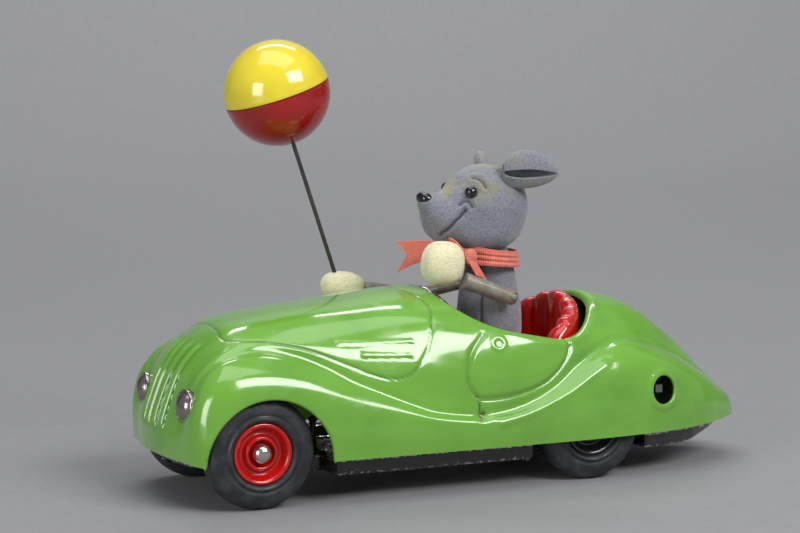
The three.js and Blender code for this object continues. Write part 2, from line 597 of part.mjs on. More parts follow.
function mouse() {
  const wall = [
    [5.8, SEAT_Z + GAP], [TORSO.r, SEAT_Z + GAP], [TORSO.r, 37], [6.3, 41.5], [5.2, 45.5],
    [4.4, TORSO.top], [0, TORSO.top], [0, 46.2], [4.2, 44.8], [5.3, 41], [5.8, 36], [5.8, SEAT_Z + GAP],
  ];
  const pinHole = barY(SHOULDER.x, SHOULDER.z, 0.9, 0, 12, 12);
  const rightPinHole = barY(RIGHT_SHOULDER.x, RIGHT_SHOULDER.z, 0.9, -12, 0, 12);
  piece("mouse_torso", cut(turnedZ(wall, TORSO.x, 0, 28), pinHole, rightPinHole), FELT);

  const eye = { x: -1.2, y: 6.1, z: 61.8, r: 1.35 };
  const sockets = [1, -1].map((s) => ball(eye.x, s * eye.y, eye.z, [1.6, 1.6, 1.6], 12));
  const noseHollow = ball(6.6, 0, 59.3, [2.4, 2.4, 2.2], 14);
  const neck = turnedZ([[0, 40], [7.6, 40], [7.6, 47.9], [0, 47.9]], TORSO.x, 0, 20);
  const earSlots = [1, -1].map((s) => earGeometry(s, 0.35));
  piece("mouse_head", cut(headGeometry(), ...sockets, noseHollow, neck, ...earSlots), FELT);
  piece("mouse_nose", ball(6.6, 0, 59.3, [2.1, 2.1, 1.9], 14), BLACK_GLASS);
  for (const [name, side] of [["left", 1], ["right", -1]]) {
    piece(`eye_${name}`, ball(eye.x, side * eye.y, eye.z, [eye.r, eye.r, eye.r], 10), BLACK_GLASS);
    piece(`ear_${name}`, earGeometry(side, 0), FELT);
  }

  const band = [[5.7, 44.4], [7.2, 44.2], [7.4, 46.0], [6.9, 47.6], [6.0, 47.6], [5.7, 44.4]];
  const bow = ball(-0.9, 0.4, 45.6, [2.0, 2.6, 1.8], 12);
  piece("neck_ribbon", join(turnedZ(band, TORSO.x, 0, 28), bow), CORAL);
}

// Cupped felt leaves that grow from the sides of the crown: the left one lies back, the right one spreads out.
function earGeometry(side, extra) {
  const leaf = new THREE.SphereGeometry(1, 14, 8);
  if (side > 0) {
    leaf.scale(7.2 + extra, 1.5 + extra, 4.6 + extra).rotateX(0.5).rotateY(0.1);
    return leaf.translate(-14.4, 6.8, 64.6);
  }
  leaf.scale(6.4 + extra, 1.5 + extra, 3.4 + extra).rotateX(-0.3).rotateZ(THREE.MathUtils.degToRad(112));
  return leaf.translate(-10.4, -9.4, 65.6);
}

function arms() {
  const from = new THREE.Vector3(SHOULDER.x, SHOULDER.y, SHOULDER.z);
  const wrist = new THREE.Vector3(1.4, 8.6, 42.3);
  const leftHand = ball(LEFT_HAND.x, LEFT_HAND.y, LEFT_HAND.z, [4.6, 3.7, 4.7], 16);
  const armSolid = (a, b) => join(barBetween(a, b, 1.75, 14), ball(a.x, a.y, a.z, [1.75, 1.75, 1.75], 14));
  const bored = (arm, at, y0, y1) => cut(arm, barY(at.x, at.z, 0.9, y0, y1, 12));
  const leftArm = cut(bored(armSolid(from, wrist), SHOULDER, 5, 14), ball(...LEFT_HAND_GROWN));
  piece("left_arm", leftArm, GREY_TIN);
  piece("left_hand", leftHand, CREAM);
  piece("shoulder_pin_left", barY(SHOULDER.x, SHOULDER.z, 0.8, 5.2, 11.6, 12), STEEL);
  piece("shoulder_pin_right", barY(RIGHT_SHOULDER.x, RIGHT_SHOULDER.z, 0.8, -11.6, -5.2, 12), STEEL);

  const start = new THREE.Vector3(RIGHT_SHOULDER.x, RIGHT_SHOULDER.y, RIGHT_SHOULDER.z);
  const hand = new THREE.Vector3(RIGHT_HAND.x, RIGHT_HAND.y, RIGHT_HAND.z);
  const elbow = new THREE.Vector3(1.0, -17.8, 36.6);
  const back = elbow.clone().sub(hand).normalize();
  const cuff = hand.clone().addScaledVector(back, 5.3);
  const bentArm = join(armSolid(start, elbow), armSolid(elbow, cuff));
  piece("right_arm", bored(bentArm, RIGHT_SHOULDER, -14, -5), GREY_TIN);
  const mitt = new THREE.SphereGeometry(1, 16, 10).scale(4.9, 3.3, 2.9);
  const turn = new THREE.Quaternion().setFromUnitVectors(new THREE.Vector3(-1, 0, 0), back);
  const rodLine = rodGeometry(0.75);
  piece("right_hand", cut(mitt.applyQuaternion(turn).translate(...hand.toArray()), rodLine), CREAM);
  piece("ball_rod", rodGeometry(0.45), STEEL);
}

const LEFT_HAND_GROWN = [LEFT_HAND.x, LEFT_HAND.y, LEFT_HAND.z, [4.9, 4.0, 5.0], 16];
const rodFoot = new THREE.Vector3(17.6, BALL.y, 35.2);
const ballCentre = new THREE.Vector3(BALL.x, BALL.y, BALL.z);
const rodAxis = ballCentre.clone().sub(rodFoot).normalize();

function rodGeometry(r) {
  return barBetween(rodFoot, ballCentre.clone().addScaledVector(rodAxis, BALL.r - 2), r, 10);
}

// A point of a half shell's profile, kept off the axis by the hole for the rod.
function shellPoint(r, angle, side, hole) {
  const out = r * Math.cos(angle);
  return [out < 1e-6 + hole ? hole : out, side * r * Math.sin(angle)];
}

// Two pressed half shells that meet at a seam across the rod.
function ballHalves() {
  const wall = 0.6;
  const steps = 5;
  const turn = new THREE.Quaternion().setFromUnitVectors(new THREE.Vector3(0, 1, 0), rodAxis);
  for (const [name, side, finish, hole] of [["ball_upper", 1, YELLOW, 0], ["ball_lower", -1, RED, 0.8]]) {
    const profile = [];
    const start = Math.asin(GAP / 2 / BALL.r);
    for (let i = 0; i <= steps; i++) {
      const angle = start + ((Math.PI / 2 - start) * i) / steps;
      profile.push(shellPoint(BALL.r, angle, side, hole));
    }
    for (let i = steps; i >= 0; i--) {
      const angle = start + ((Math.PI / 2 - start) * i) / steps;
      profile.push(shellPoint(BALL.r - wall, angle, side, hole));
    }
    profile.push(profile[0]);
    const points = profile.map(([r, y]) => new THREE.Vector2(r, y));
    const half = new THREE.LatheGeometry(points, 20).applyQuaternion(turn);
    piece(name, half.translate(...ballCentre.toArray()), finish);
  }
}

// Wire that lifts the right arm: it hangs from a crank inside the torso.
function pushRod() {
  const foot = new THREE.Vector3(PUSH_X, -3, 22.4);
  const head = new THREE.Vector3(PUSH_X, -3, RIGHT_SHOULDER.z);
  piece("push_rod", barBetween(foot, head, 0.5, 10), STEEL);
}

bodyShell();
headlights();
basePlate();
seat();
steering();
frontAxle();
frontWheels();
rearWheels();
gearTrain();
mainspring();
motorFrame();
stopLever();
mouse();
arms();
ballHalves();
pushRod();

export default toy;
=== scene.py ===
"""Clockwork tin roadster driven by a felt mouse: the looks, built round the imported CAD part.

Lengths are millimetres in the car's own frame unless a name says otherwise: X forward, Y to the car's left
from its mid-plane, and Z up with the axles at AXLE_Z. to_row() turns points into the row frame in metres.
"""

import math

import bpy
import numpy as np
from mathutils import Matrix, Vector, noise


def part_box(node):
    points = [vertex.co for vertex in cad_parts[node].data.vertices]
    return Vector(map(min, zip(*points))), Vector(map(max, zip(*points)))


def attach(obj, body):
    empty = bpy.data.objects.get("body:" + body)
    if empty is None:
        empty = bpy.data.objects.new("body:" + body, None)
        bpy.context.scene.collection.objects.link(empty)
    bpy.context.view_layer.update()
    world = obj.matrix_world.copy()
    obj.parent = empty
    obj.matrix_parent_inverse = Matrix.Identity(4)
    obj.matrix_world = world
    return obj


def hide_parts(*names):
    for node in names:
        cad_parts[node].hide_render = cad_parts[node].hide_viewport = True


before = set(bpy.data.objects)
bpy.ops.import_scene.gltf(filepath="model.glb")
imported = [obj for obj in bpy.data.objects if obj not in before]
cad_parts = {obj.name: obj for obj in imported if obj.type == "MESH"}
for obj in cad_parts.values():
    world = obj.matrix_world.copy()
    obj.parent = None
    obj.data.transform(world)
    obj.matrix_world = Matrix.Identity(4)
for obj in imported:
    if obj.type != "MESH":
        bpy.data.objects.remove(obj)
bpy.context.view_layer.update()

MM = 0.001
plate_lo, plate_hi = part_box("base_plate")
tyre_lo, tyre_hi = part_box("rear_tyre_left")
TYRE_R = (tyre_hi.z - tyre_lo.z) / 2 / MM
AXLE_Z = 10.5
ORIGIN = np.array([0, (plate_lo.y + plate_hi.y) / 2 / MM, TYRE_R - AXLE_Z])


def centre_of(node):
    """Middle of a CAD node's box, in the car's frame."""
    lo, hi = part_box(node)
    return (np.array(lo) + np.array(hi)) / 2 / MM - ORIGIN


def half_of(node):
    lo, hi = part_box(node)
    return (np.array(hi) - np.array(lo)) / 2 / MM


# Driving dimensions, taken from the frame where it has them
FRONT_TYRE = centre_of("front_tyre_left")
REAR_TYRE = centre_of("rear_tyre_left")
TYRE_HALF = half_of("front_tyre_left")[1]
RIM_R = half_of("front_wheel_left")[2]
ARCH = {"x": 52.1, "z": 8.2, "r": 13.6}
COCKPIT = {"x": -10.9, "length": 19.4, "width": 20.0, "power": 2.5}
KEY = {"x": -41.2, "z": 17.4, "r": 3.1}
SEAT_Z = 26.0
TIN = 0.5
ROLL = {"cockpit": 1.6, "arch": 0.5, "keyhole": 0.35}
TORSO = {"x": centre_of("mouse_torso")[0], "r": half_of("mouse_torso")[0]}
HEAD = np.array([-7.4, 0.0, 57.2])

# Cross-sections of the body from nose to tail. Each lists seven points of the left half, from the sill up.
SECTIONS = [
    [(68.2, 16.8, 8.8), (68.4, 15.4, 8.8), (68.7, 13.6, 8.8), (69.1, 11.2, 8.8), (69.5, 8.4, 8.8),
     (69.9, 4.6, 8.8), (70.1, 0, 8.8)],
    [(67.9, 18.4, 8.7), (68.2, 17.6, 10.8), (68.4, 16.4, 12.8), (68.5, 13.8, 13.8), (69.0, 10.6, 14.2),
     (70.0, 5.6, 14.4), (70.4, 0, 14.4)],
    [(67.0, 20.6, 8.6), (67.5, 20.2, 13.0), (67.7, 18.8, 17.6), (66.9, 15.0, 20.2), (67.0, 11.4, 20.6),
     (68.2, 6.2, 20.4), (68.8, 0, 20.2)],
    [(65.2, 22.6, 8.4), (65.7, 22.3, 15.2), (65.6, 20.4, 22.6), (64.6, 15.6, 26.0), (64.4, 11.8, 26.6),
     (65.4, 6.8, 26.6), (66.0, 0, 26.4)],
    [(62.0, 23.8, 8.3), (62.2, 23.7, 16.4), (61.8, 21.7, 25.6), (60.6, 15.9, 29.6), (60.2, 12.4, 30.6),
     (60.8, 7.4, 31.4), (61.4, 0, 31.8)],
]
STRAIGHT_SECTIONS = {
    55: [(24.2, 8.2), (24.3, 17.2), (22.2, 26.6), (16.3, 31.0), (13.6, 32.8), (8.6, 34.8), (0, 35.6)],
    44: [(24.3, 8.2), (24.4, 16.6), (22.8, 24.6), (17.8, 29.4), (16.0, 32.3), (10.6, 36.2), (0, 37.6)],
    30: [(24.3, 8.2), (24.5, 14.0), (23.7, 19.2), (21.0, 23.4), (18.6, 30.0), (12.6, 36.8), (0, 39.0)],
    16: [(24.3, 8.2), (24.5, 12.4), (24.2, 15.6), (22.5, 18.8), (20.7, 27.2), (15.2, 36.4), (0, 40.6)],
    3: [(24.3, 8.2), (24.5, 11.4), (24.3, 13.8), (23.1, 16.4), (22.4, 24.0), (18.2, 33.6), (0, 41.2)],
    -9: [(24.3, 8.2), (24.5, 12.2), (24.2, 15.4), (22.7, 18.2), (22.2, 24.0), (18.8, 32.9), (0, 40.7)],
    -20: [(24.1, 8.2), (24.3, 14.6), (23.5, 20.4), (20.9, 24.0), (20.0, 27.4), (16.6, 33.6), (0, 40.1)],
    -31: [(23.4, 8.2), (23.4, 16.4), (21.8, 24.4), (17.2, 28.6), (15.2, 30.6), (9.6, 35.8), (0, 38.0)],
    -42: [(21.8, 8.2), (21.5, 16.0), (19.6, 23.4), (13.8, 27.0), (11.6, 28.8), (7.0, 33.0), (0, 34.8)],
    -53: [(18.2, 8.2), (17.7, 14.2), (15.6, 19.4), (10.2, 22.2), (8.2, 23.4), (4.6, 26.0), (0, 27.2)],
    -62: [(12.6, 8.2), (12.0, 12.0), (10.6, 14.6), (7.0, 16.4), (5.4, 17.0), (3.0, 18.2), (0, 18.8)],
    -67.6: [(7.6, 8.2), (7.2, 10.2), (6.4, 11.6), (4.4, 12.5), (3.3, 12.8), (1.8, 13.3), (0, 13.5)],
}
TAIL = [(-69.3, 5.0, 8.2), (-69.7, 4.0, 8.2), (-70.0, 3.2, 8.2), (-70.3, 2.4, 8.2), (-70.5, 1.6, 8.2),
        (-70.7, 0.8, 8.2), (-70.8, 0, 8.2)]
SECTIONS += [[(x, y, z) for y, z in points] for x, points in STRAIGHT_SECTIONS.items()]
SECTIONS += [TAIL]
SECTIONS = np.array(SECTIONS, float)


# Meshes

def to_row(points):
    return (np.asarray(points, float) + ORIGIN) * MM


def add_piece(name, points, faces, body, slot, material, replaces=(), sharp=40.0, attributes=None, uv=None):
    """A mesh from car-frame points, riding on a CAD body and standing for the CAD nodes named."""
    mesh = bpy.data.meshes.new(name)
    mesh.from_pydata(to_row(points).tolist(), [], [list(map(int, f)) for f in faces])
    mesh.update()
    mesh.shade_smooth()
    mesh.set_sharp_from_angle(angle=math.radians(sharp))
    for key, values in (attributes or {}).items():
        layer = mesh.attributes.new(key, "FLOAT", "POINT")
        layer.data.foreach_set("value", np.asarray(values, np.float32))
    if uv is not None:
        layer = mesh.uv_layers.new(name="weave")
        corner = np.zeros(len(mesh.loops), np.int32)
        mesh.loops.foreach_get("vertex_index", corner)
        layer.data.foreach_set("uv", np.asarray(uv, np.float32)[corner].ravel())
    mesh.materials.append(material)
    piece = bpy.data.objects.new(name, mesh)
    bpy.context.scene.collection.objects.link(piece)
    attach(piece, body)
    if replaces:
        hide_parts(*replaces)
    return piece


def merge(*parts):
    """Several (points, faces) as one."""
    points, faces, start = [], [], 0
    for p, f in parts:
        points.append(np.asarray(p, float))
        faces += [[start + int(k) for k in face] for face in f]
        start += len(p)
    return np.concatenate(points), faces


def spline(knots, t):
    """Centripetal Catmull-Rom curve through the first axis of knots, at parameters t from 0 to 1."""
    p = np.asarray(knots, float)
    count = len(p)
    p = np.concatenate([[2 * p[0] - p[1]], p, [2 * p[-1] - p[-2]]])
    place = np.clip(np.asarray(t, float), 0, 1) * (count - 1)
    i = np.minimum(place.astype(int), count - 2)
    w = place - i
    p0, p1, p2, p3 = p[i], p[i + 1], p[i + 2], p[i + 3]

    def knot(d):
        return np.maximum((d**2).sum(-1, keepdims=True) ** 0.25, 1e-6)

    a, b, c = knot(p1 - p0), knot(p2 - p1), knot(p3 - p2)
    t1 = ((p1 - p0) / a - (p2 - p0) / (a + b) + (p2 - p1) / b) * b
    t2 = ((p2 - p1) / b - (p3 - p1) / (b + c) + (p3 - p2) / c) * b
    w = w.reshape((-1,) + (1,) * (p.ndim - 1))
    return p1 + t1 * w + (-3 * p1 + 3 * p2 - 2 * t1 - t2) * w**2 + (2 * p1 - 2 * p2 + t1 + t2) * w**3


def grid_faces(rows, cols, closed=False):
    """Quads of a grid of points. closed joins the last column to the first."""
    i, j = np.meshgrid(np.arange(rows - 1), np.arange(cols if closed else cols - 1), indexing="ij")
    k = (j + 1) % cols
    return np.stack([i * cols + j, i * cols + k, (i + 1) * cols + k, (i + 1) * cols + j], -1).reshape(-1, 4)


def vertex_normals(points, faces):
    f = np.asarray(faces)
    cross = np.cross(points[f[:, 2]] - points[f[:, 0]], points[f[:, 3]] - points[f[:, 1]])
    normals = np.zeros_like(points)
    for k in range(4):
        np.add.at(normals, f[:, k], cross)
    return normals / np.maximum(np.linalg.norm(normals, axis=1, keepdims=True), 1e-12)


def edge_loops(faces):
    """Directed edges that bound the sheet, as arrays (start, end)."""
    f = np.asarray(faces)
    start = f.ravel()
    end = np.roll(f, -1, axis=1).ravel()
    key = np.minimum(start, end).astype(np.int64) * (f.max() + 1) + np.maximum(start, end)
    _, index, count = np.unique(key, return_inverse=True, return_counts=True)
    once = count[index.ravel()] == 1
    return start[once], end[once]


def thicken(points, faces, wall):
    """A sheet of quads made into a closed wall: its faces look out, and the copy lies wall behind them."""
    normals = vertex_normals(points, faces)
    size = len(points)
    start, end = edge_loops(faces)
    inner = np.asarray(faces)[:, ::-1] + size
    sides = np.stack([end, start, start + size, end + size], -1)
    return np.concatenate([points, points - normals * wall]), np.concatenate([faces, inner, sides])


def frame_to(direction):
    """Rotation matrix whose third column is the direction given."""
    z = np.asarray(direction, float)
    z = z / np.linalg.norm(z)
    helper = np.array([0, 0, 1.0]) if abs(z[2]) < 0.9 else np.array([1.0, 0, 0])
    x = np.cross(helper, z)
    x /= np.linalg.norm(x)
    return np.stack([x, np.cross(z, x), z], -1)


def turned(profile, place, axis, sides=96):
    """A closed or axis-to-axis profile of (radius, height) turned about axis, with height 0 at place."""
    turn = frame_to(axis)
    angle = np.arange(sides) * 2 * math.pi / sides
    ring = np.stack([np.cos(angle), np.sin(angle), np.zeros(sides)], -1)
    points, faces, rows = [], [], []
    for r, t in profile:
        if r < 1e-6:
            rows.append([len(points)])
            points.append(np.array([0, 0, t], float))
        else:
            rows.append(list(range(len(points), len(points) + sides)))
            points += list(ring * r + [0, 0, t])
    for low, high in zip(rows, rows[1:]):
        for k in range(sides):
            n = (k + 1) % sides
            if len(low) == 1:
                faces.append([low[0], high[n], high[k]])
            elif len(high) == 1:
                faces.append([low[k], low[n], high[0]])
            else:
                faces.append([low[k], low[n], high[n], high[k]])
    if len(rows[0]) > 1:
        for k in range(sides):
            n = (k + 1) % sides
            faces.append([rows[-1][k], rows[-1][n], rows[0][n], rows[0][k]])
    return np.array(points) @ turn.T + place, face_out(np.array(points), faces)


def face_out(points, faces):
    """Flips the faces if the solid they close has a negative volume."""
    volume = 0.0
    for f in faces:
        a = points[f[0]]
        for k in range(1, len(f) - 1):
            volume += float(np.dot(a, np.cross(points[f[k]], points[f[k + 1]])))
    return faces if volume > 0 else [f[::-1] for f in faces]


def rounded(profile, steps=6):
    """The profile with a smooth curve through its points."""
    return [tuple(p) for p in spline(profile, np.linspace(0, 1, (len(profile) - 1) * steps + 1))]


def tube(path, radius, sides=20, ends=True):
    """A round tube along a path. radius is a number or one per point, and the ends are closed."""
    path = np.asarray(path, float)
    radii = np.full(len(path), radius, float) if np.isscalar(radius) else np.asarray(radius, float)
    along = np.gradient(path, axis=0)
    along /= np.linalg.norm(along, axis=1, keepdims=True)
    side = frame_to(along[0])[:, 0]
    angle = np.arange(sides) * 2 * math.pi / sides
    rings = []
    for p, d, r in zip(path, along, radii):
        side = side - d * np.dot(side, d)
        side /= np.linalg.norm(side)
        up = np.cross(d, side)
        rings.append(p + r * (np.cos(angle)[:, None] * side + np.sin(angle)[:, None] * up))
    points = np.concatenate(rings)
    faces = [list(f) for f in grid_faces(len(path), sides, closed=True)]
    if ends:
        faces.append(list(range(sides))[::-1])
        faces.append(list(range(len(points) - sides, len(points))))
    return points, faces


def ellipsoid(centre, radii, rows=40, cols=64, power=2.0):
    """A closed ball with those radii. A power above 2 makes it boxier."""
    lat = np.linspace(-math.pi / 2, math.pi / 2, rows)[1:-1]
    lon = np.arange(cols) * 2 * math.pi / cols
    a, b = np.meshgrid(lat, lon, indexing="ij")
    ball = np.stack([np.cos(a) * np.cos(b), np.cos(a) * np.sin(b), np.sin(a)], -1).reshape(-1, 3)
    ball = np.concatenate([ball, [[0, 0, -1], [0, 0, 1]]])
    size = (np.abs(ball) ** power).sum(1, keepdims=True) ** (1 / power)
    faces = [list(f) for f in grid_faces(rows - 2, cols, closed=True)]
    low, high, last = len(ball) - 2, len(ball) - 1, (rows - 3) * cols
    faces += [[low, (k + 1) % cols, k] for k in range(cols)]
    faces += [[high, last + k, last + (k + 1) % cols] for k in range(cols)]
    return ball / size * radii + centre, faces


def line_distance(points, line, reach=4.0):
    """Distance from each point to a polyline, or reach where it is further."""
    line = np.asarray(line, float)
    result = np.full(len(points), reach)
    near = ((points > line.min(0) - reach) & (points < line.max(0) + reach)).all(1)
    p = points[near]
    best = np.full(len(p), reach)
    for a, b in zip(line, line[1:]):
        d = b - a
        t = np.clip((p - a) @ d / max(d @ d, 1e-9), 0, 1)
        best = np.minimum(best, np.linalg.norm(p - a - t[:, None] * d, axis=1))
    result[near] = best
    return result


def lumps(points, size, seed=0.0):
    """Smooth noise from -1 to 1 with features about size across."""
    return np.array([noise.noise(Vector((p[0] / size + seed, p[1] / size, p[2] / size))) for p in points])


# Materials

class Finish:
    """A Principled material with helpers for its procedural inputs. Pattern sizes are in millimetres."""

    def __init__(self, name, color, roughness, **sockets):
        self.material = bpy.data.materials.new(name)
        self.material.use_nodes = True
        self.tree = self.material.node_tree
        self.shader = self.tree.nodes["Principled BSDF"]
        self.shader.inputs["Base Color"].default_value = (*color, 1)
        self.shader.inputs["Roughness"].default_value = roughness
        for key, value in sockets.items():
            self.shader.inputs[key.replace("_", " ")].default_value = value
        self.where = self.tree.nodes.new("ShaderNodeTexCoord").outputs["Object"]

    def node(self, kind, **values):
        made = self.tree.nodes.new(kind)
        for key, value in values.items():
            setattr(made, key, value)
        return made

    def link(self, a, b):
        self.tree.links.new(a, b)

    def noise(self, size, detail=4.0, stretch=(1, 1, 1), roughness=0.55):
        mapping = self.node("ShaderNodeMapping")
        mapping.inputs["Scale"].default_value = [s / (size * MM) for s in stretch]
        made = self.node("ShaderNodeTexNoise")
        made.inputs["Scale"].default_value = 1.0
        made.inputs["Detail"].default_value = detail
        made.inputs["Roughness"].default_value = roughness
        self.link(self.where, mapping.inputs["Vector"])
        self.link(mapping.outputs["Vector"], made.inputs["Vector"])
        return made.outputs["Fac"]

    def attribute(self, name):
        return self.node("ShaderNodeAttribute", attribute_name=name).outputs["Fac"]

    def remap(self, value, low, high, to_low=0.0, to_high=1.0):
        made = self.node("ShaderNodeMapRange", interpolation_type="SMOOTHSTEP")
        for key, number in zip(("From Min", "From Max", "To Min", "To Max"), (low, high, to_low, to_high)):
            made.inputs[key].default_value = number
        self.link(value, made.inputs["Value"])
        return made.outputs["Result"]

    def math(self, operation, a, b):
        made = self.node("ShaderNodeMath", operation=operation)
        for socket, value in zip(made.inputs, (a, b)):
            if isinstance(value, (int, float)):
                socket.default_value = value
            else:
                self.link(value, socket)
        return made.outputs["Value"]

    def tint(self, color, share):
        """Mixes color over what the base colour has so far, by share."""
        mix = self.node("ShaderNodeMix", data_type="RGBA")
        base = self.shader.inputs["Base Color"]
        if base.links:
            self.link(base.links[0].from_socket, mix.inputs["A"])
        else:
            mix.inputs["A"].default_value = base.default_value
        mix.inputs["B"].default_value = (*color, 1)
        self.link(share, mix.inputs["Factor"])
        self.link(mix.outputs["Result"], base)
        return self

    def drive(self, socket, low_value, high_value, share):
        """A number socket that runs from low_value to high_value with share."""
        self.link(self.remap(share, 0, 1, low_value, high_value), self.shader.inputs[socket])
        return self

    def bump(self, height, distance, strength=1.0):
        """Adds relief of that depth in millimetres to what there is."""
        made = self.node("ShaderNodeBump")
        made.inputs["Distance"].default_value = distance * MM
        made.inputs["Strength"].default_value = strength
        normal = self.shader.inputs["Normal"]
        if normal.links:
            self.link(normal.links[0].from_socket, made.inputs["Normal"])
        self.link(height, made.inputs["Height"])
        self.link(made.outputs["Normal"], normal)
        return self


def lacquer(name, color, shade, wear_color=(0.09, 0.035, 0.012), worn=True):
    """Glossy paint on tin: soft colour variation, fine orange peel, painted shade in the grooves, worn spots.
    """
    f = Finish(name, color, 0.2, Coat_Weight=0.6, Coat_Roughness=0.07, Specular_IOR_Level=0.5)
    f.tint(shade, f.remap(f.noise(14.0, 3.0), 0.35, 0.75, 0.0, 0.7))
    f.drive("Roughness", 0.14, 0.32, f.remap(f.noise(5.0), 0.4, 0.8))
    f.bump(f.noise(0.9, 2.0), 0.012, 0.35)
    f.bump(f.noise(7.0, 2.0), 0.06, 0.25)
    specks = f.remap(f.noise(1.1, 5.0), 0.75, 0.79, 0.0, 0.6)
    f.tint(wear_color, specks)
    if worn:
        # Painted shade: the paint is darkened along the pressed grooves.
        f.tint([c * 0.35 for c in shade], f.math("MULTIPLY", f.attribute("groove_shade_and_ink"), 0.75))
        patches = f.math("ADD", f.attribute("wear"), f.remap(f.noise(1.6, 6.0), 0.3, 0.7, -0.55, 0.45))
        f.tint(wear_color, f.remap(patches, 0.42, 0.62, 0.0, 0.8))
    return f.material


def metal(name, color, roughness, dull=0.25, tarnish=(0.12, 0.1, 0.08), amount=0.35, grain=(1, 1, 1)):
    f = Finish(name, color, roughness, Metallic=1.0)
    f.tint(tarnish, f.remap(f.noise(2.2, 6.0), 0.52, 0.8, 0.0, amount))
    f.drive("Roughness", roughness, roughness + dull, f.remap(f.noise(1.2, 5.0), 0.35, 0.7))
    f.bump(f.noise(0.9, 3.0, grain), 0.006, 0.25)
    return f.material


def black_tin():
    f = Finish("black_tin", (0.012, 0.012, 0.013), 0.26, Coat_Weight=0.5, Coat_Roughness=0.08)
    f.tint((0.045, 0.04, 0.035), f.remap(f.noise(4.0, 6.0), 0.5, 0.8, 0.0, 0.6))
    rub = f.math("ADD", f.attribute("wear"), f.remap(f.noise(0.8, 5.0), 0.3, 0.7, -0.45, 0.45))
    bare = f.remap(rub, 0.5, 0.62)
    f.tint((0.62, 0.58, 0.5), bare)
    f.link(bare, f.shader.inputs["Metallic"])
    f.drive("Roughness", 0.2, 0.45, f.remap(f.noise(2.5), 0.35, 0.75))
    f.bump(f.noise(0.7, 3.0), 0.02, 0.3)
    return f.material


def rubber():
    f = Finish("tyre_rubber", (0.017, 0.018, 0.021), 0.5, Specular_IOR_Level=0.45)
    f.tint((0.05, 0.052, 0.06), f.remap(f.noise(3.5, 5.0), 0.4, 0.75, 0.0, 0.8))
    f.tint((0.14, 0.13, 0.12), f.remap(f.noise(0.7, 6.0), 0.66, 0.8, 0.0, 0.35))
    f.drive("Roughness", 0.38, 0.7, f.remap(f.noise(2.0, 4.0), 0.35, 0.7))
    f.bump(f.noise(0.3, 5.0), 0.03, 0.5)
    return f.material


def felt(name, color, light, dark, stain=None, stain_from=None):
    """Pressed wool: mottled fibres, a soft sheen, and a yellow stain that grows with height if asked for."""
    f = Finish(name, color, 0.95, Sheen_Weight=0.45, Sheen_Roughness=0.45, Specular_IOR_Level=0.15)
    f.tint(dark, f.remap(f.noise(0.55, 6.0, (1, 1, 2.2)), 0.42, 0.72, 0.0, 0.75))
    f.tint(light, f.remap(f.noise(0.4, 6.0, (2.4, 1.2, 1)), 0.5, 0.75, 0.0, 0.65))
    if stain:
        cloud = f.remap(f.noise(4.6, 4.0), 0.42, 0.66)
        f.tint(stain, f.math("MULTIPLY", cloud, f.attribute("stain")))
    # Painted shade in seams and grooves; on the face the same mask carries the drawn ink lines.
    f.tint([c * 0.3 for c in dark], f.attribute("groove_shade_and_ink"))
    f.bump(f.noise(0.16, 6.0, (1, 2.5, 1), 0.7), 0.16, 0.9)
    f.bump(f.noise(0.9, 4.0), 0.16, 0.5)
    return f.material


def ribbon_weave():
    """Plain weave: fine ribs across and along the ribbon, by its own length and width."""
    f = Finish("ribbon", (0.78, 0.22, 0.155), 0.75, Sheen_Weight=0.25, Specular_IOR_Level=0.25)
    weave = f.node("ShaderNodeTexCoord").outputs["UV"]
    waves = []
    for direction in ("X", "Y"):
        wave = f.node("ShaderNodeTexWave", wave_type="BANDS", bands_direction=direction)
        wave.inputs["Scale"].default_value = 0.62
        wave.inputs["Distortion"].default_value = 0.5
        f.link(weave, wave.inputs["Vector"])
        waves.append(wave.outputs["Fac"])
    threads = f.math("MULTIPLY", waves[0], waves[1])
    f.tint((0.42, 0.055, 0.035), f.remap(threads, 0.0, 0.45, 0.6, 0.0))
    f.tint((0.86, 0.36, 0.27), f.remap(f.noise(1.5, 5.0), 0.5, 0.8, 0.0, 0.55))
    f.bump(threads, 0.09, 0.8)
    return f.material


def arm_paint():
    f = Finish("arm_tin", (0.17, 0.17, 0.15), 0.38, Coat_Weight=0.25, Coat_Roughness=0.2)
    f.tint((0.25, 0.245, 0.2), f.remap(f.noise(2.5), 0.4, 0.7))
    rust = f.math("ADD", f.attribute("wear"), f.remap(f.noise(0.8, 6.0), 0.3, 0.7, -0.4, 0.5))
    f.tint((0.3, 0.17, 0.05), f.remap(rust, 0.38, 0.6, 0.0, 0.9))
    f.tint((0.03, 0.018, 0.012), f.remap(rust, 0.66, 0.8))
    f.bump(f.noise(0.5, 5.0), 0.03, 0.5)
    return f.material


def black_bead():
    f = Finish("bead", (0.004, 0.004, 0.005), 0.08, Coat_Weight=0.6, Coat_Roughness=0.03)
    f.drive("Roughness", 0.05, 0.16, f.remap(f.noise(0.9), 0.4, 0.7))
    f.bump(f.noise(0.8, 2.0), 0.01, 0.2)
    return f.material


GREEN = lacquer("green_lacquer", (0.15, 0.375, 0.04), (0.11, 0.295, 0.03))
RED = lacquer("red_lacquer", (0.50, 0.006, 0.004), (0.34, 0.004, 0.003), worn=False)
BALL_YELLOW = lacquer("ball_yellow", (0.80, 0.66, 0.03), (0.66, 0.5, 0.02), worn=False)
BALL_RED = lacquer("ball_red", (0.36, 0.003, 0.002), (0.24, 0.002, 0.002), worn=False)
NICKEL = metal("nickel", (0.6, 0.57, 0.5), 0.16, 0.12, amount=0.12)
LAMP = metal("lamp_nickel", (0.36, 0.32, 0.3), 0.14, 0.12, amount=0.2)
STEEL = metal("steel", (0.2, 0.2, 0.2), 0.38, 0.25, grain=(1, 6, 1))
DARK_STEEL = metal("dark_wire", (0.1, 0.095, 0.09), 0.35, 0.3)
BRASS = metal("brass", (0.66, 0.43, 0.13), 0.25, 0.25)
BLACK_TIN = black_tin()
RUBBER = rubber()
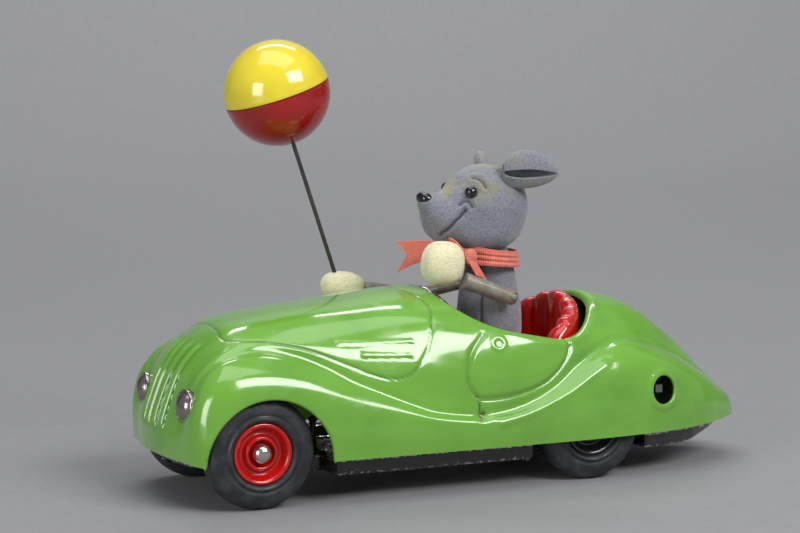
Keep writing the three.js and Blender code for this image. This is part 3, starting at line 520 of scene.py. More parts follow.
FELT = felt("felt", (0.225, 0.23, 0.262), (0.39, 0.4, 0.44), (0.085, 0.095, 0.13), (0.3, 0.28, 0.12))
PLUSH = felt("hand_cream", (0.84, 0.79, 0.52), (0.88, 0.84, 0.62), (0.6, 0.52, 0.26))
RIBBON = ribbon_weave()
ARM_TIN = arm_paint()
BEAD = black_bead()


# Body

def surface(u, v):
    """The body's skin at places u along it and v across it, both from 0 to 1."""
    half = spline(SECTIONS, u)
    full = np.concatenate([half, (half * [1, -1, 1])[:, -2::-1]], axis=1)
    return np.moveaxis(spline(np.moveaxis(full, 1, 0), v), 0, 1)


def even_steps(count, axis):
    """Parameters along one axis of the skin that lie evenly by length."""
    even = np.linspace(0, 1, 601)
    skin = surface(even, even)
    length = np.linalg.norm(np.diff(skin, axis=axis), axis=2).mean(1 - axis)
    total = np.concatenate([[0], np.cumsum(length)])
    return np.interp(np.linspace(0, 1, count), total / total[-1], even)


class Skin:
    """A fine table of the body's skin, which is read at any place between its points."""

    def __init__(self, rows=901, cols=701):
        self.points = surface(even_steps(rows, 0), even_steps(cols, 1))
        normal = np.cross(np.gradient(self.points, axis=0), np.gradient(self.points, axis=1))
        normal /= np.maximum(np.linalg.norm(normal, axis=2, keepdims=True), 1e-12)
        outward = np.sign((normal * (self.points - [0, 0, 15])).sum(2).mean())
        self.normals = normal * outward

    def read(self, table, a, b):
        rows, cols = table.shape[:2]
        i, j = np.clip(a, 0, 1) * (rows - 1), np.clip(b, 0, 1) * (cols - 1)
        i0, j0 = np.minimum(i.astype(int), rows - 2), np.minimum(j.astype(int), cols - 2)
        s, t = (i - i0)[:, None], (j - j0)[:, None]
        low = table[i0, j0] * (1 - t) + table[i0, j0 + 1] * t
        high = table[i0 + 1, j0] * (1 - t) + table[i0 + 1, j0 + 1] * t
        return low * (1 - s) + high * s

    def snap(self, line, per_step=4):
        """A line of points laid on the skin, with extra points between."""
        fine = spline(line, np.linspace(0, 1, (len(line) - 1) * per_step + 1))
        cloud = self.points[::3, ::3].reshape(-1, 3)
        normals = self.normals[::3, ::3].reshape(-1, 3)
        laid = []
        for p in fine:
            nearest = ((cloud - p) ** 2).sum(1).argmin()
            n = normals[nearest] / np.linalg.norm(normals[nearest])
            laid.append(p - n * np.dot(p - cloud[nearest], n))
        return np.array(laid)


SKIN = Skin()


def opening_distances(p):
    """Distance outside each opening's rim, with room left for the rolled edge."""
    x, y, z = p[:, 0], p[:, 1], p[:, 2]
    power = COCKPIT["power"]
    share = np.abs((x - COCKPIT["x"]) / COCKPIT["length"]) ** power + np.abs(y / COCKPIT["width"]) ** power
    flatness = 1 - 0.62 * (y / COCKPIT["width"]) ** 2
    mean_radius = (COCKPIT["length"] + COCKPIT["width"]) / 2
    cockpit = (share ** (1 / power) - 1) * mean_radius - ROLL["cockpit"] * flatness
    arch = np.hypot(x - ARCH["x"], z - ARCH["z"]) - ARCH["r"] - ROLL["arch"]
    keyhole = np.hypot(x - KEY["x"], z - KEY["z"]) - KEY["r"] - ROLL["keyhole"]
    return {
        "cockpit": np.where(z > 23, cockpit, 50.0),
        "arch": np.where((np.abs(y) > 15) & (x > 30), arch, 50.0),
        "keyhole": np.where((y > 12) & (x < -30), keyhole, 50.0),
    }


def outside(p):
    return np.minimum.reduce(list(opening_distances(p).values()))


class Sheet:
    """The body's skin as a grid with its openings cut out and their edges laid exactly on the rims."""

    def __init__(self, rows=401, cols=301):
        self.size = np.array([rows - 1, cols - 1], float)
        i, j = np.meshgrid(np.arange(rows), np.arange(cols), indexing="ij")
        self.at = np.stack([i.ravel(), j.ravel()], -1).astype(float)
        points = self.place(self.at)
        faces = grid_faces(rows, cols)
        kept = (outside(points)[faces] > 0).all(1)
        self.faces = faces[kept]
        self.settle(cols)
        self.drop_unused()

    def place(self, at):
        return SKIN.read(SKIN.points, at[:, 0] / self.size[0], at[:, 1] / self.size[1])

    def project(self, at, lock):
        """Moves grid places onto the nearest rim. Those in lock stay on their own row."""
        for _ in range(5):
            d = outside(self.place(at))
            step = 0.3
            slope = np.stack([
                (outside(self.place(at + [step, 0])) - outside(self.place(at - [step, 0]))) / (2 * step),
                (outside(self.place(at + [0, step])) - outside(self.place(at - [0, step]))) / (2 * step),
            ], -1)
            slope[lock, 1] = 0
            at = at - d[:, None] * slope / np.maximum((slope**2).sum(1, keepdims=True), 1e-6)
            at = np.clip(at, 0, self.size)
        return at

    def settle(self, cols):
        start, end = edge_loops(self.faces)
        after = np.full(len(self.at), -1)
        before = np.full(len(self.at), -1)
        after[start], before[end] = end, start
        near = np.abs(outside(self.place(self.at))) < 2.0
        on_edge = np.zeros(len(self.at), bool)
        on_edge[start] = True
        sill = (self.at[:, 1] == 0) | (self.at[:, 1] == self.size[1])
        free = on_edge & near & ~sill & (self.at[:, 0] > 0) & (self.at[:, 0] < self.size[0])
        foot = on_edge & sill & (free[after] | free[before])
        rim = np.flatnonzero(free | foot)
        lock = foot[rim]
        inside = np.zeros(len(self.at), bool)
        inside[self.faces.ravel()] = True
        band = inside & ~on_edge & (outside(self.place(self.at)) < 3.0)
        band = np.flatnonzero(band)
        self.at[rim] = self.project(self.at[rim], lock)
        free = rim[~lock]
        for _ in range(30):
            self.at[free] = (self.at[before[free]] + self.at[after[free]]) / 4 + self.at[free] / 2
            self.at[rim] = self.project(self.at[rim], lock)
            around = self.at[band - 1] + self.at[band + 1] + self.at[band - cols] + self.at[band + cols]
            self.at[band] = self.at[band] / 2 + around / 8
        self.after, self.before, self.rim = after, before, rim

    def drop_unused(self):
        used = np.unique(self.faces)
        new = np.full(len(self.at) + 1, -1)
        new[used] = np.arange(len(used))
        self.faces = new[self.faces]
        self.after, self.before = new[self.after[used]], new[self.before[used]]
        self.rim = new[self.rim]
        self.at = self.at[used]
        self.points = self.place(self.at)
        self.normals = SKIN.read(SKIN.normals, self.at[:, 0] / self.size[0], self.at[:, 1] / self.size[1])
        self.normals /= np.linalg.norm(self.normals, axis=1, keepdims=True)


HOOD_LINE = [
    (57.0, 0, 34.9), (57.3, 5.6, 34.2), (57.6, 10.8, 32.8), (54.8, 13.4, 32.5), (50.5, 14.8, 32.4),
    (42.3, 17.1, 30.9), (34.3, 19.1, 27.7), (27.7, 20.5, 25.0), (23.4, 21.0, 24.1), (19.7, 21.1, 24.8),
    (15.8, 20.1, 28.8), (13.8, 18.2, 33.1), (12.3, 14.6, 36.8), (12.0, 11.7, 38.3), (12.8, 9.1, 39.3),
    (13.8, 6.8, 39.9), (14.5, 4.1, 40.4), (15.0, 0, 40.6),
]
DOOR_LINE = [
    (2.2, 19.5, 32.0), (5.6, 21.0, 28.5), (6.9, 22.1, 24.6), (6.8, 22.5, 21.7), (5.4, 22.7, 19.4),
    (4.0, 22.8, 18.7), (0.2, 22.9, 18.6), (-4.8, 22.8, 19.1), (-10.3, 22.3, 20.5), (-14.1, 21.8, 22.7),
    (-17.4, 20.9, 26.1), (-18.4, 20.0, 28.3),
]
DOOR_SEAM = [(4.9, 22.8, 19.0), (4.6, 22.9, 17.6), (4.4, 23.3, 15.6)]
VALLEY_LINE = [
    (66.6, 14.6, 21.5), (65.4, 15.2, 24.5), (62.5, 15.9, 28.3), (57.5, 16.5, 30.5), (51.2, 16.6, 31.0),
    (44.9, 17.6, 29.7), (38.6, 19.1, 27.2), (32.5, 20.9, 23.8), (26.1, 22.0, 21.1), (19.4, 23.0, 18.3),
    (14.8, 23.5, 16.7), (4.0, 23.8, 15.4),
]
REAR_VALLEY = [
    (4.0, 23.8, 15.4), (-3.0, 23.4, 16.2), (-9.5, 22.8, 18.0), (-15.0, 22.0, 20.6), (-20.0, 20.8, 24.2),
    (-25.5, 19.0, 26.6), (-31.0, 17.2, 28.6), (-36.5, 15.6, 28.4), (-42.0, 13.8, 27.0), (-47.5, 12.2, 25.0),
    (-53.0, 10.2, 22.2), (-57.8, 8.4, 19.4), (-62.0, 7.0, 16.4),
]
REAR_CREASE = [
    (0.0, 24.4, 13.4), (-6.6, 24.2, 14.9), (-12.0, 24.1, 16.9), (-17.4, 23.8, 19.1), (-22.0, 22.9, 21.8),
    (-26.3, 21.9, 24.2),
]
LOUVRES = [[(34.6, 17.3, 31.6), (18.6, 18.9, 31.4)], [(29.8, 19.1, 29.1), (19.4, 19.9, 28.6)]]
HANDLE = (-0.9, 20.7, 30.0)
RIB_SIDES = [1.9, 5.5]


def bell(distance, width):
    return np.exp(-((distance / width) ** 2))


def pressed_details(points):
    """How far the pressing raises the skin along its normal, how much painted shade falls in its grooves, and
    how worn it is.
    """
    p = points * [1, 0, 1] + np.abs(points) * [0, 1, 0]
    lift = np.zeros(len(p))
    groove_shade_and_ink = np.zeros(len(p))
    for line, depth, width, painted_shade in (
        (HOOD_LINE, 0.2, 0.27, 0.9), (DOOR_LINE, 0.42, 0.5, 0.35), (DOOR_SEAM, 0.35, 0.3, 1.0),
        (VALLEY_LINE, 0.45, 1.1, 0.0), (REAR_VALLEY, 0.45, 1.1, 0.0),
    ):
        distance = line_distance(p, SKIN.snap(line))
        lift -= depth * bell(distance, width)
        # Painted shade along each pressed line, darkest in its groove.
        if painted_shade:
            groove_shade_and_ink = np.maximum(groove_shade_and_ink, painted_shade * bell(distance, width * 0.8))
    lift += 0.3 * bell(line_distance(p, SKIN.snap(REAR_CREASE)), 0.9)
    for line in LOUVRES:
        ends = SKIN.snap(line, 12)
        distance = line_distance(p, ends)
        # The strip under each louvre sinks and is painted darker as the step's shadow.
        below = bell(line_distance(p + [0, 0, 0.5], ends), 0.26)
        lift += 0.15 * bell(distance, 0.34) - 0.14 * below
        groove_shade_and_ink = np.maximum(groove_shade_and_ink, 0.7 * below)
        for end in (ends[0], ends[-1]):
            lift += 0.14 * bell(np.linalg.norm(p - end, axis=1), 0.4)
    for side in RIB_SIDES:
        rib, gap = grille_rib(p, side)
        lift += rib
        groove_shade_and_ink = np.maximum(groove_shade_and_ink, gap)
    handle = np.linalg.norm(p - SKIN.snap([HANDLE, HANDLE])[0], axis=1)
    lift += 0.24 * bell(handle - 1.35, 0.42) - 0.16 * bell(handle, 0.9) + 0.2 * bell(handle, 0.42)
    # Painted shade in a ring round the handle's dish.
    groove_shade_and_ink = np.maximum(groove_shade_and_ink, 0.35 * bell(handle - 0.85, 0.3))
    keyhole = np.hypot(points[:, 0] - KEY["x"], points[:, 2] - KEY["z"]) - KEY["r"]
    lift += np.where(points[:, 1] > 12, 0.4 * bell(keyhole - 0.7, 0.75), 0)
    cowl = bell((points[:, 0] - 10.0) / 1.6, 1.6) * bell(points[:, 1] / 3.0, 2.2) * (points[:, 2] > 36)
    low_seam = bell(np.linalg.norm(p - [4.4, 23.4, 15.4], axis=1), 1.6)
    arch_edge = bell(opening_distances(points)["arch"], 0.7)
    wear = 0.42 * cowl + 0.55 * low_seam + 0.08 * arch_edge
    return lift, groove_shade_and_ink, wear


def grille_rib(p, side):
    """A raised bar up the nose, from the grille's bottom to its top, and the sunken gap on each side, which
    is painted darker as shade.
    """
    low, high = 14.4, 31.2
    across = np.abs(p[:, 1] - side)
    ends = 1 / (1 + np.exp(-(p[:, 2] - low) / 0.25)) / (1 + np.exp((p[:, 2] - high) / 0.25))
    ends = ends * (p[:, 0] > 58)
    gap = bell(across - 1.3, 0.3) * ends
    # The second value is painted shade for the gaps beside the bar.
    return 0.5 * bell(across, 0.85) * ends - 0.45 * gap, 0.9 * gap


def rolled_edge(points, normals, rim, after, before, radius, steps=7, lip=0.2):
    """Rings that curl a rim inward. Returns the rings' points, each ring as long as the rim."""
    inward = np.cross(points[after[rim]] - points[before[rim]], normals[rim])
    inward /= np.linalg.norm(inward, axis=1, keepdims=True)
    test = outside(points[rim] + 0.3 * inward) - outside(points[rim] - 0.3 * inward)
    inward *= np.where(test < 0, 1, -1)[:, None]
    rings = []
    for k in range(1, steps + 1):
        angle = math.pi / 2 * k / steps
        shift = radius[:, None] * (math.sin(angle) * inward - (1 - math.cos(angle)) * normals[rim])
        rings.append(points[rim] + shift)
    rings.append(rings[-1] - lip * normals[rim])
    return rings


def build_body():
    sheet = Sheet()
    lift, groove_shade_and_ink, wear = pressed_details(sheet.points)
    points = sheet.points + sheet.normals * lift[:, None]
    distances = opening_distances(sheet.points)
    rim = sheet.rim
    radius = np.select(
        [np.abs(distances[k][rim]) < 0.2 for k in ROLL], [np.full(len(rim), ROLL[k]) for k in ROLL], 0.3)
    rings = rolled_edge(points, sheet.normals, rim, sheet.after, sheet.before, radius)
    size = len(points)
    slot_of = np.full(size, -1)
    slot_of[rim] = np.arange(len(rim))
    start, end = edge_loops(sheet.faces)
    both = (slot_of[start] >= 0) & (slot_of[end] >= 0)
    a, b = slot_of[start[both]], slot_of[end[both]]
    faces = [sheet.faces]
    inner_a, inner_b = start[both], end[both]
    for k in range(len(rings)):
        outer_a, outer_b = size + k * len(rim) + a, size + k * len(rim) + b
        faces.append(np.stack([inner_b, inner_a, outer_a, outer_b], -1))
        inner_a, inner_b = outer_a, outer_b
    points = np.concatenate([points, *rings])
    faces = np.concatenate(faces)
    if (vertex_normals(points, faces)[:size] * sheet.normals).sum(1).mean() < 0:
        faces = faces[:, ::-1]
    groove_shade_and_ink = np.concatenate([groove_shade_and_ink, np.zeros(len(rim) * len(rings))])
    wear = np.concatenate([wear] + [wear[rim]] * len(rings))
    points, faces = thicken(points, faces, TIN)
    add_piece("body", points, faces, "car", "green_lacquer", GREEN, ["body_shell"], 50.0,
              {"groove_shade_and_ink": np.tile(groove_shade_and_ink, 2), "wear": np.tile(wear, 2)})


def build_headlights():
    """Lens bulging from a rolled rim, on each side of the grille."""
    profile = rounded([(0, 2.5), (1.2, 2.35), (2.2, 1.9), (2.75, 1.35), (2.95, 1.1), (3.2, 1.35), (3.5, 1.2),
                       (3.6, 0.6), (3.4, 0.0), (3.3, -0.8)])
    for name, side in (("left", 1), ("right", -1)):
        node = f"headlight_{name}"
        place = centre_of(node)
        axis = np.array([1.0, side * 0.12, 0.12])
        points, faces = turned([*profile, (0, -0.8)], place - axis * 1.3, axis, 72)
        add_piece(f"lamp_{name}", points, faces, "car", "nickel", LAMP, [node])


# Wheels

def wheel_profiles():
    half = TYRE_HALF
    side = [(RIM_R + 0.05, half - 0.75), (RIM_R + 0.4, half - 0.2), (RIM_R + 0.9, half),
            (RIM_R + 1.25, half - 0.3), (RIM_R + 1.5, half - 0.42), (RIM_R + 2.2, half - 0.3),
            (TYRE_R - 0.75, half - 1.0), (TYRE_R - 0.2, half - 2.0), (TYRE_R, half - 3.1)]
    tyre = rounded(side + [(r, -t) for r, t in reversed(side)])
    disc = rounded([(1.1, 1.5), (2.3, 1.5), (2.65, 1.9), (2.95, 2.45), (3.35, 2.5), (3.7, 1.9), (4.0, 1.45),
                    (RIM_R - 2.0, 1.4), (RIM_R - 1.6, 1.8), (RIM_R - 1.25, 2.5), (RIM_R - 0.9, 3.05),
                    (RIM_R - 0.45, 3.25), (RIM_R - 0.15, 3.1), (RIM_R - 0.02, 2.7)])
    disc += [(RIM_R - 0.02, -2.2), (1.1, -2.2)]
    cap = rounded([(0, 4.3), (0.8, 4.18), (1.5, 3.75), (1.95, 3.1), (2.15, 2.5), (2.1, 2.2)])
    boss = [(1.1, 3.2), (1.5, 3.25), (2.1, 3.1), (2.6, 2.7), (2.9, 2.2), (2.9, 1.8), (1.1, 1.8)]
    return tyre, disc, [*cap, (0, 2.2)], boss


def build_wheels():
    tyre, disc, cap, boss = wheel_profiles()
    for name, side in (("left", 1), ("right", -1)):
        axis = [0, side, 0]
        front = np.array([FRONT_TYRE[0], side * abs(FRONT_TYRE[1]), FRONT_TYRE[2]])
        rear = np.array([REAR_TYRE[0], side * abs(REAR_TYRE[1]), REAR_TYRE[2]])
        body = f"front_roll_{name}"
        add_piece(f"tyre_front_{name}", *turned(tyre, front, axis, 120), body, "tyre_rubber", RUBBER,
                  [f"front_tyre_{name}"])
        add_piece(f"disc_front_{name}", *turned(disc, front, axis, 120), body, "red_lacquer", RED,
                  [f"front_wheel_{name}"])
        add_piece(f"cap_{name}", *turned(cap, front, axis, 64), body, "nickel", NICKEL, [f"hub_cap_{name}"])
        add_piece(f"tyre_rear_{name}", *turned(tyre, rear, axis, 120), "rear_drive", "tyre_rubber", RUBBER,
                  [f"rear_tyre_{name}"])
        add_piece(f"disc_rear_{name}", *turned(disc, rear, axis, 120), "rear_drive", "black_tin", BLACK_TIN,
                  [f"rear_wheel_{name}"])
        add_piece(f"boss_rear_{name}", *turned(boss, rear, axis, 48), "rear_drive", "brass", BRASS,
                  [f"rear_boss_{name}"])


# Tray under the car

TRAY = [
    (67.4, 0), (67.0, 6.5), (65.6, 13.6), (37.4, 13.6), (36.4, 20.6), (-9.8, 20.6), (-10.8, 13.4),
    (-36.8, 13.4), (-37.6, 20.0), (-44.0, 18.6), (-52.0, 16.0), (-59.0, 11.6), (-64.6, 6.6), (-68.4, 0),
]
TRAY_LOW, TRAY_TOP = 4.2, 7.9


def tray_floor(x):
    """Height of the tray's floor, which rises under the nose and the tail."""
    nose = np.clip((x - 42.0) / 18.0, 0, 1)
    tail = np.clip((-48.0 - x) / 18.0, 0, 1)
    ease = nose**2 * (3 - 2 * nose) + tail**2 * (3 - 2 * tail)
    return TRAY_LOW + 2.7 * ease


def build_tray():
    """A shallow pressed tray: flat floor, rounded edge, upright wall and a lip turned out along its top."""
    half = np.array(TRAY, float)
    ring = np.concatenate([half, (half * [1, -1])[-2:0:-1]])
    closed = np.concatenate([ring, ring[:1]])
    fine = []
    for a, b in zip(closed, closed[1:]):
        steps = max(2, int(np.linalg.norm(b - a) / 0.7))
        fine += [a + (b - a) * k / steps for k in range(steps)]
    fine = np.array(fine)
    for _ in range(2):
        fine = (np.roll(fine, 1, 0) + 2 * fine + np.roll(fine, -1, 0)) / 4
    along = np.roll(fine, -1, 0) - np.roll(fine, 1, 0)
    out = np.stack([-along[:, 1], along[:, 0]], -1)
    out /= np.linalg.norm(out, axis=1, keepdims=True)
    if (out * fine).sum(1).mean() < 0:
        out = -out
    low = tray_floor(fine[:, 0])
    depth = (TRAY_TOP - low) / (TRAY_TOP - TRAY_LOW)
    wall = [(-2.4, 0), (-1.0, 0), (-0.5, 0.15), (-0.15, 0.5), (0, 1.0), (0, 2.9), (0.1, 3.2), (0.35, 3.45),
            (0.5, 3.6)]
    rings = [np.column_stack([fine + out * shift, low + rise * depth]) for shift, rise in wall]
    count = len(fine)
    middle = [np.column_stack([fine * [1, share], low]) for share in (0.0, 0.45)]
    rings = middle + rings
    points = np.concatenate(rings)
    faces = grid_faces(len(rings), count, closed=True)
    normals = vertex_normals(points, faces)
    if normals[: 2 * count, 2].mean() > 0:
        faces = faces[:, ::-1]
    wear = np.where(points[:, 2] > TRAY_TOP - 0.6, 0.75, 0.0)
    wear = np.where(np.abs(points[:, 2] - TRAY_LOW - 0.3) < 0.35, 0.4, wear)
    points, faces = thicken(points, faces, 0.35)
    add_piece("tray", points, faces, "car", "black_tin", BLACK_TIN, ["base_plate"], 50.0,
              {"wear": np.tile(wear, 2)})


# Cockpit

SEAT = {"length": 16.9, "width": 17.6, "flutes": 9, "depth": 1.0, "thickness": 2.6}


def body_height(x, y):
    cloud = SKIN.points[::3, ::3].reshape(-1, 3)
    cloud = cloud[cloud[:, 2] > 25]
    return np.array([cloud[((cloud[:, :2] - [a, b]) ** 2).sum(1).argmin(), 2] for a, b in zip(x, y)])


def build_seat():
    """A fluted back that curves round the rear of the cockpit, with a rounded top, and a bench under it."""
    count = SEAT["flutes"] * 14 + 1
    share = np.linspace(0, 1, count)
    angle = math.pi * (0.56 + 0.88 * share)
    flute = np.abs(np.sin(math.pi * SEAT["flutes"] * share)) ** 0.8
    c, s = np.cos(angle), np.sin(angle)
    x = SEAT["length"] * np.sign(c) * np.abs(c) ** 0.8
    y = SEAT["width"] * np.sign(s) * np.abs(s) ** 0.8
    ends = np.clip(np.minimum(share, 1 - share) / 0.16, 0, 1)
    top = body_height(COCKPIT["x"] + x, y) - 2.4 - 5.5 * (1 - ends) ** 2
    around = np.linspace(0, math.pi, 9)
    rings = []
    bottom = SEAT_Z - 0.8
    half = SEAT["thickness"] / 2
    for rise in (0.0, 0.5):
        rings.append((np.zeros(count), bottom + (top - bottom) * rise))
    for k in around:
        shift = half * (1 - math.cos(k))
        bulge = SEAT["depth"] * flute * (1 - math.cos(k)) / 2
        rings.append((shift + bulge, top + half * math.sin(k) * 0.9 + 0.5 * flute * math.sin(k)))
    for rise in (0.85, 0.6, 0.3, 0.0):
        rings.append((2 * half + SEAT["depth"] * flute, bottom + (top - bottom) * rise))
    points = []
    for inset, z in rings:
        scale = 1 - inset / SEAT["length"]
        points.append(np.column_stack([COCKPIT["x"] + x * scale, y * scale, z]))
    rows = len(points)
    points = np.concatenate(points)
    faces = [list(f) for f in grid_faces(rows, count)]
    faces += [[(rows - 1) * count + k, (rows - 1) * count + k + 1, k + 1, k] for k in range(count - 1)]
    faces.append([r * count for r in range(rows)][::-1])
    faces.append([r * count + count - 1 for r in range(rows)])
    bench_angle = np.arange(72) * 2 * math.pi / 72
    bc, bs = np.cos(bench_angle), np.sin(bench_angle)
    bench = []
    levels = ((0.02, -0.8), (0.97, -0.8), (1.0, -0.6), (1.0, -0.1), (0.97, 0.0), (0.5, 0.12), (0.02, 0.15))
    for size, z in levels:
        bx = 15.2 * size * np.sign(bc) * np.abs(bc) ** 0.77
        by = 15.6 * size * np.sign(bs) * np.abs(bs) ** 0.77
        bench.append(np.column_stack([COCKPIT["x"] + bx, by, np.full(72, SEAT_Z + z)]))
    bench_faces = [list(f)[::-1] for f in grid_faces(len(bench), 72, closed=True)]
    bench_faces += [list(range(72)), list(range(len(bench) * 72 - 72, len(bench) * 72))[::-1]]
    points, faces = merge((points, faces), (np.concatenate(bench), bench_faces))
    add_piece("seat_pressing", points, faces, "car", "red_lacquer", RED, ["seat"], 50.0)


def build_steering_wheel():
    lo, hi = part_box("steering_wheel")
    place = centre_of("steering_wheel")
    column = centre_of("steering_column")
    axis = np.array([column[0] - place[0], 0, column[2] - place[2]])
    axis = axis / np.linalg.norm(axis)
    radius = (hi.y - lo.y) / 2 / MM - 0.6
    turn = frame_to(axis)
    angle = np.linspace(0, 2 * math.pi, 97)[:-1]
    ring = np.column_stack([np.cos(angle) * radius, np.sin(angle) * radius, np.zeros(96)]) @ turn.T + place
    sides = 16
    around = np.arange(sides) * 2 * math.pi / sides
    out = (ring - place) / radius
    points = []
    for k in around:
        points.append(ring + 0.62 * (math.cos(k) * out + math.sin(k) * axis))
    grid = np.stack(points, 1).reshape(-1, 3)
    faces = []
    for i in range(96):
        for j in range(sides):
            a, b = i * sides + j, i * sides + (j + 1) % sides
            c, d = ((i + 1) % 96) * sides + (j + 1) % sides, ((i + 1) % 96) * sides + j
            faces.append([a, b, c, d])
    parts = [(grid, faces)]
    for k in range(3):
        spoke = np.array([math.cos(2 * math.pi * k / 3), math.sin(2 * math.pi * k / 3), 0]) @ turn.T
        parts.append(tube([place + spoke * t for t in (0.8, 2.5, 4.5, radius)], [0.55, 0.45, 0.4, 0.4], 14))
    hub = rounded([(0, 0.8), (1.0, 0.7), (1.7, 0.35), (1.75, -0.2), (1.4, -0.6)], 4) + [(0, -0.6)]
    parts.append(turned(hub, place, -axis, 48))
    add_piece("wheel_to_steer", *merge(*parts), "steering", "nickel", NICKEL, ["steering_wheel"])


# Mouse

def blended(points, balls, softness):
    """A smooth union of ellipsoids, negative inside. Each is (centre, radii, tilt in degrees, nose up)."""
    total = np.zeros(len(points))
    for centre, radii, tilt in balls:
        q = points - centre
        t = math.radians(tilt)
        q = np.column_stack([q[:, 0] * math.cos(t) + q[:, 2] * math.sin(t), q[:, 1],
                             -q[:, 0] * math.sin(t) + q[:, 2] * math.cos(t)])
        r = np.array(radii, float)
        length = np.maximum(np.linalg.norm(q / r, axis=1), 1e-6)
        slope = np.maximum(np.linalg.norm(q / r**2, axis=1), 1e-6)
        total += np.exp(-(length * (length - 1) / slope) / softness)
    return -softness * np.log(total)


def star_mesh(centre, balls, softness, rows=150, cols=220):
    """The union's surface as seen from centre, as a closed mesh with its poles at the sides."""
    points, faces = ellipsoid(np.zeros(3), np.ones(3), rows, cols)
    ray = points[:, [2, 0, 1]]
    near, far = np.zeros(len(ray)), np.full(len(ray), 25.0)
    for _ in range(26):
        middle = (near + far) / 2
        inside = blended(centre + ray * middle[:, None], balls, softness) < 0
        near, far = np.where(inside, middle, near), np.where(inside, far, middle)
    return centre + ray * near[:, None], faces, ray


HEAD_BALLS = [
    (HEAD + [0.0, 0, 0.2], (10.0, 8.7, 9.4), 0),
    (HEAD + [8.2, 0, -2.6], (6.6, 6.4, 5.4), 24),
    (HEAD + [13.2, 0, 1.3], (2.6, 2.6, 2.0), 20),
    (HEAD + [1.0, 0, -5.6], (7.4, 7.6, 3.6), 0),
]
SMILE = [(0.5, 7.4, 57.5), (1.9, 6.9, 55.8), (3.2, 6.2, 54.3), (4.2, 5.0, 53.0), (4.9, 3.4, 51.8)]
BROW = [(-1.5, 5.8, 65.9), (-2.8, 6.5, 65.3), (-3.8, 7.2, 64.2), (-4.3, 7.7, 62.6)]
LID = [(1.5, 6.4, 58.9), (0.4, 6.8, 59.5), (-0.4, 7.1, 59.2), (-1.0, 7.4, 58.1)]


def build_head():
    points, faces, ray = star_mesh(HEAD + [2.0, 0, -0.8], HEAD_BALLS, 1.1)
    side = np.column_stack([points[:, 0], np.abs(points[:, 1]), points[:, 2]])
    groove_shade_and_ink = np.zeros(len(points))
    lift = 0.22 * lumps(points, 3.2) + 0.07 * lumps(points, 0.9, 5.0)
    for line, depth, width, ink in ((SMILE, 0.5, 0.5, 0.95), (BROW, 0.35, 0.4, 0.7), (LID, 0.3, 0.35, 0.7)):
        curve = spline(line, np.linspace(0, 1, 16))
        laid = np.array([side[((side - p) ** 2).sum(1).argmin()] for p in curve])
        distance = line_distance(side, laid)
        lift -= depth * bell(distance, width)
        lift += 0.18 * bell(distance - 1.0, 0.5)
        groove_shade_and_ink = np.maximum(groove_shade_and_ink, ink * bell(distance, width * 0.75))
    crown = np.clip((points[:, 2] - 57.5) / 5.0, 0, 1)
    muzzle = bell(np.linalg.norm(side - [5.0, 3.0, 58.6], axis=1), 4.2)
    stain = np.clip(0.7 * crown + 0.5 * muzzle, 0, 0.8)
    points = points + ray * lift[:, None]
    head = add_piece("head", points, faces, "car", "felt", FELT, ["mouse_head"], 80.0,
                     {"groove_shade_and_ink": groove_shade_and_ink, "stain": stain})
    build_face_parts(points)


def surface_near(points, target):
    return points[((points - target) ** 2).sum(1).argmin()]


def build_face_parts(head):
    for name, side in (("left", 1), ("right", -1)):
        seat = surface_near(head, np.array([-1.0, side * 6.9, 61.5]))
        out = seat - HEAD
        out /= np.linalg.norm(out)
        add_piece(f"bead_{name}", *ellipsoid(seat + out * 0.15, [1.4, 1.4, 1.4], 32, 48), "car", "bead", BEAD,
                  [f"eye_{name}"])
    tip = HEAD + [14.1, 0, 2.2]
    points, faces = ellipsoid(np.zeros(3), np.array([2.1, 2.5, 1.5]), 36, 56, 2.2)
    turn = math.radians(-36)
    c, s = math.cos(turn), math.sin(turn)
    points = points @ np.array([[c, 0, s], [0, 1, 0], [-s, 0, c]]).T + tip
    add_piece("nose", points, faces, "car", "bead", BEAD, ["mouse_nose"])


def cupped_ear(base, tip, height, depth, opening, lean, bend=0.0):
    """A felt leaf curled along its length so that its two edges face the same way, rounded at its ends."""
    base, tip = np.array(base, float), np.array(tip, float)
    along = tip - base
    length = np.linalg.norm(along)
    x = along / length
    up = np.array([0, 0, 1.0]) - x * x[2]
    up /= np.linalg.norm(up)
    out = np.cross(up, x)
    if out @ np.array(lean, float) < 0:
        out = -out
    rows, cols = 44, 52
    s = np.linspace(0, 1, rows)
    swell = np.maximum(np.sin(math.pi * (0.025 + 0.975 * s) ** 0.78) ** 0.55, 0.16)
    phi = np.radians(np.linspace(opening[0], opening[1], cols))
    points = []
    for k, w in zip(s, swell):
        centre = base + along * k + up * bend * math.sin(math.pi * k)
        curl = np.cos(phi)[:, None] * depth * w * out + np.sin(phi)[:, None] * height * w * up
        points.append(centre + curl)
    points = np.concatenate(points)
    points = points + 0.12 * lumps(points, 1.6, 3.0)[:, None] * out
    return points, grid_faces(rows, cols), length


def build_ears():
    """Left ear folded back, right ear spread outward."""
    for name, base, tip, lean, opening, bend in (
        ("left", (-9.0, 6.2, 65.6), (-21.0, 9.2, 65.0), (0, 1, 0), (2, 332), 0.6),
        ("right", (-9.4, -5.0, 65.2), (-13.4, -14.4, 66.0), (1, 0, 0), (12, 322), 0.4),
    ):
        height, depth = (4.2, 2.5) if name == "left" else (3.2, 1.7)
        points, faces, length = cupped_ear(base, tip, height, depth, opening, lean, bend)
        if (vertex_normals(points, faces) * (points - (np.array(base) + tip) / 2)).sum(1).mean() < 0:
            faces = faces[:, ::-1]
        points, faces = thicken(points, faces, 0.75)
        stain = np.clip(0.35 + 0.5 * lumps(points, 4.0, 9.0), 0, 0.8)
        ear = add_piece(f"ear_leaf_{name}", points, faces, "car", "felt", FELT, [f"ear_{name}"], 60.0,
                        {"groove_shade_and_ink": np.zeros(len(points)), "stain": stain})


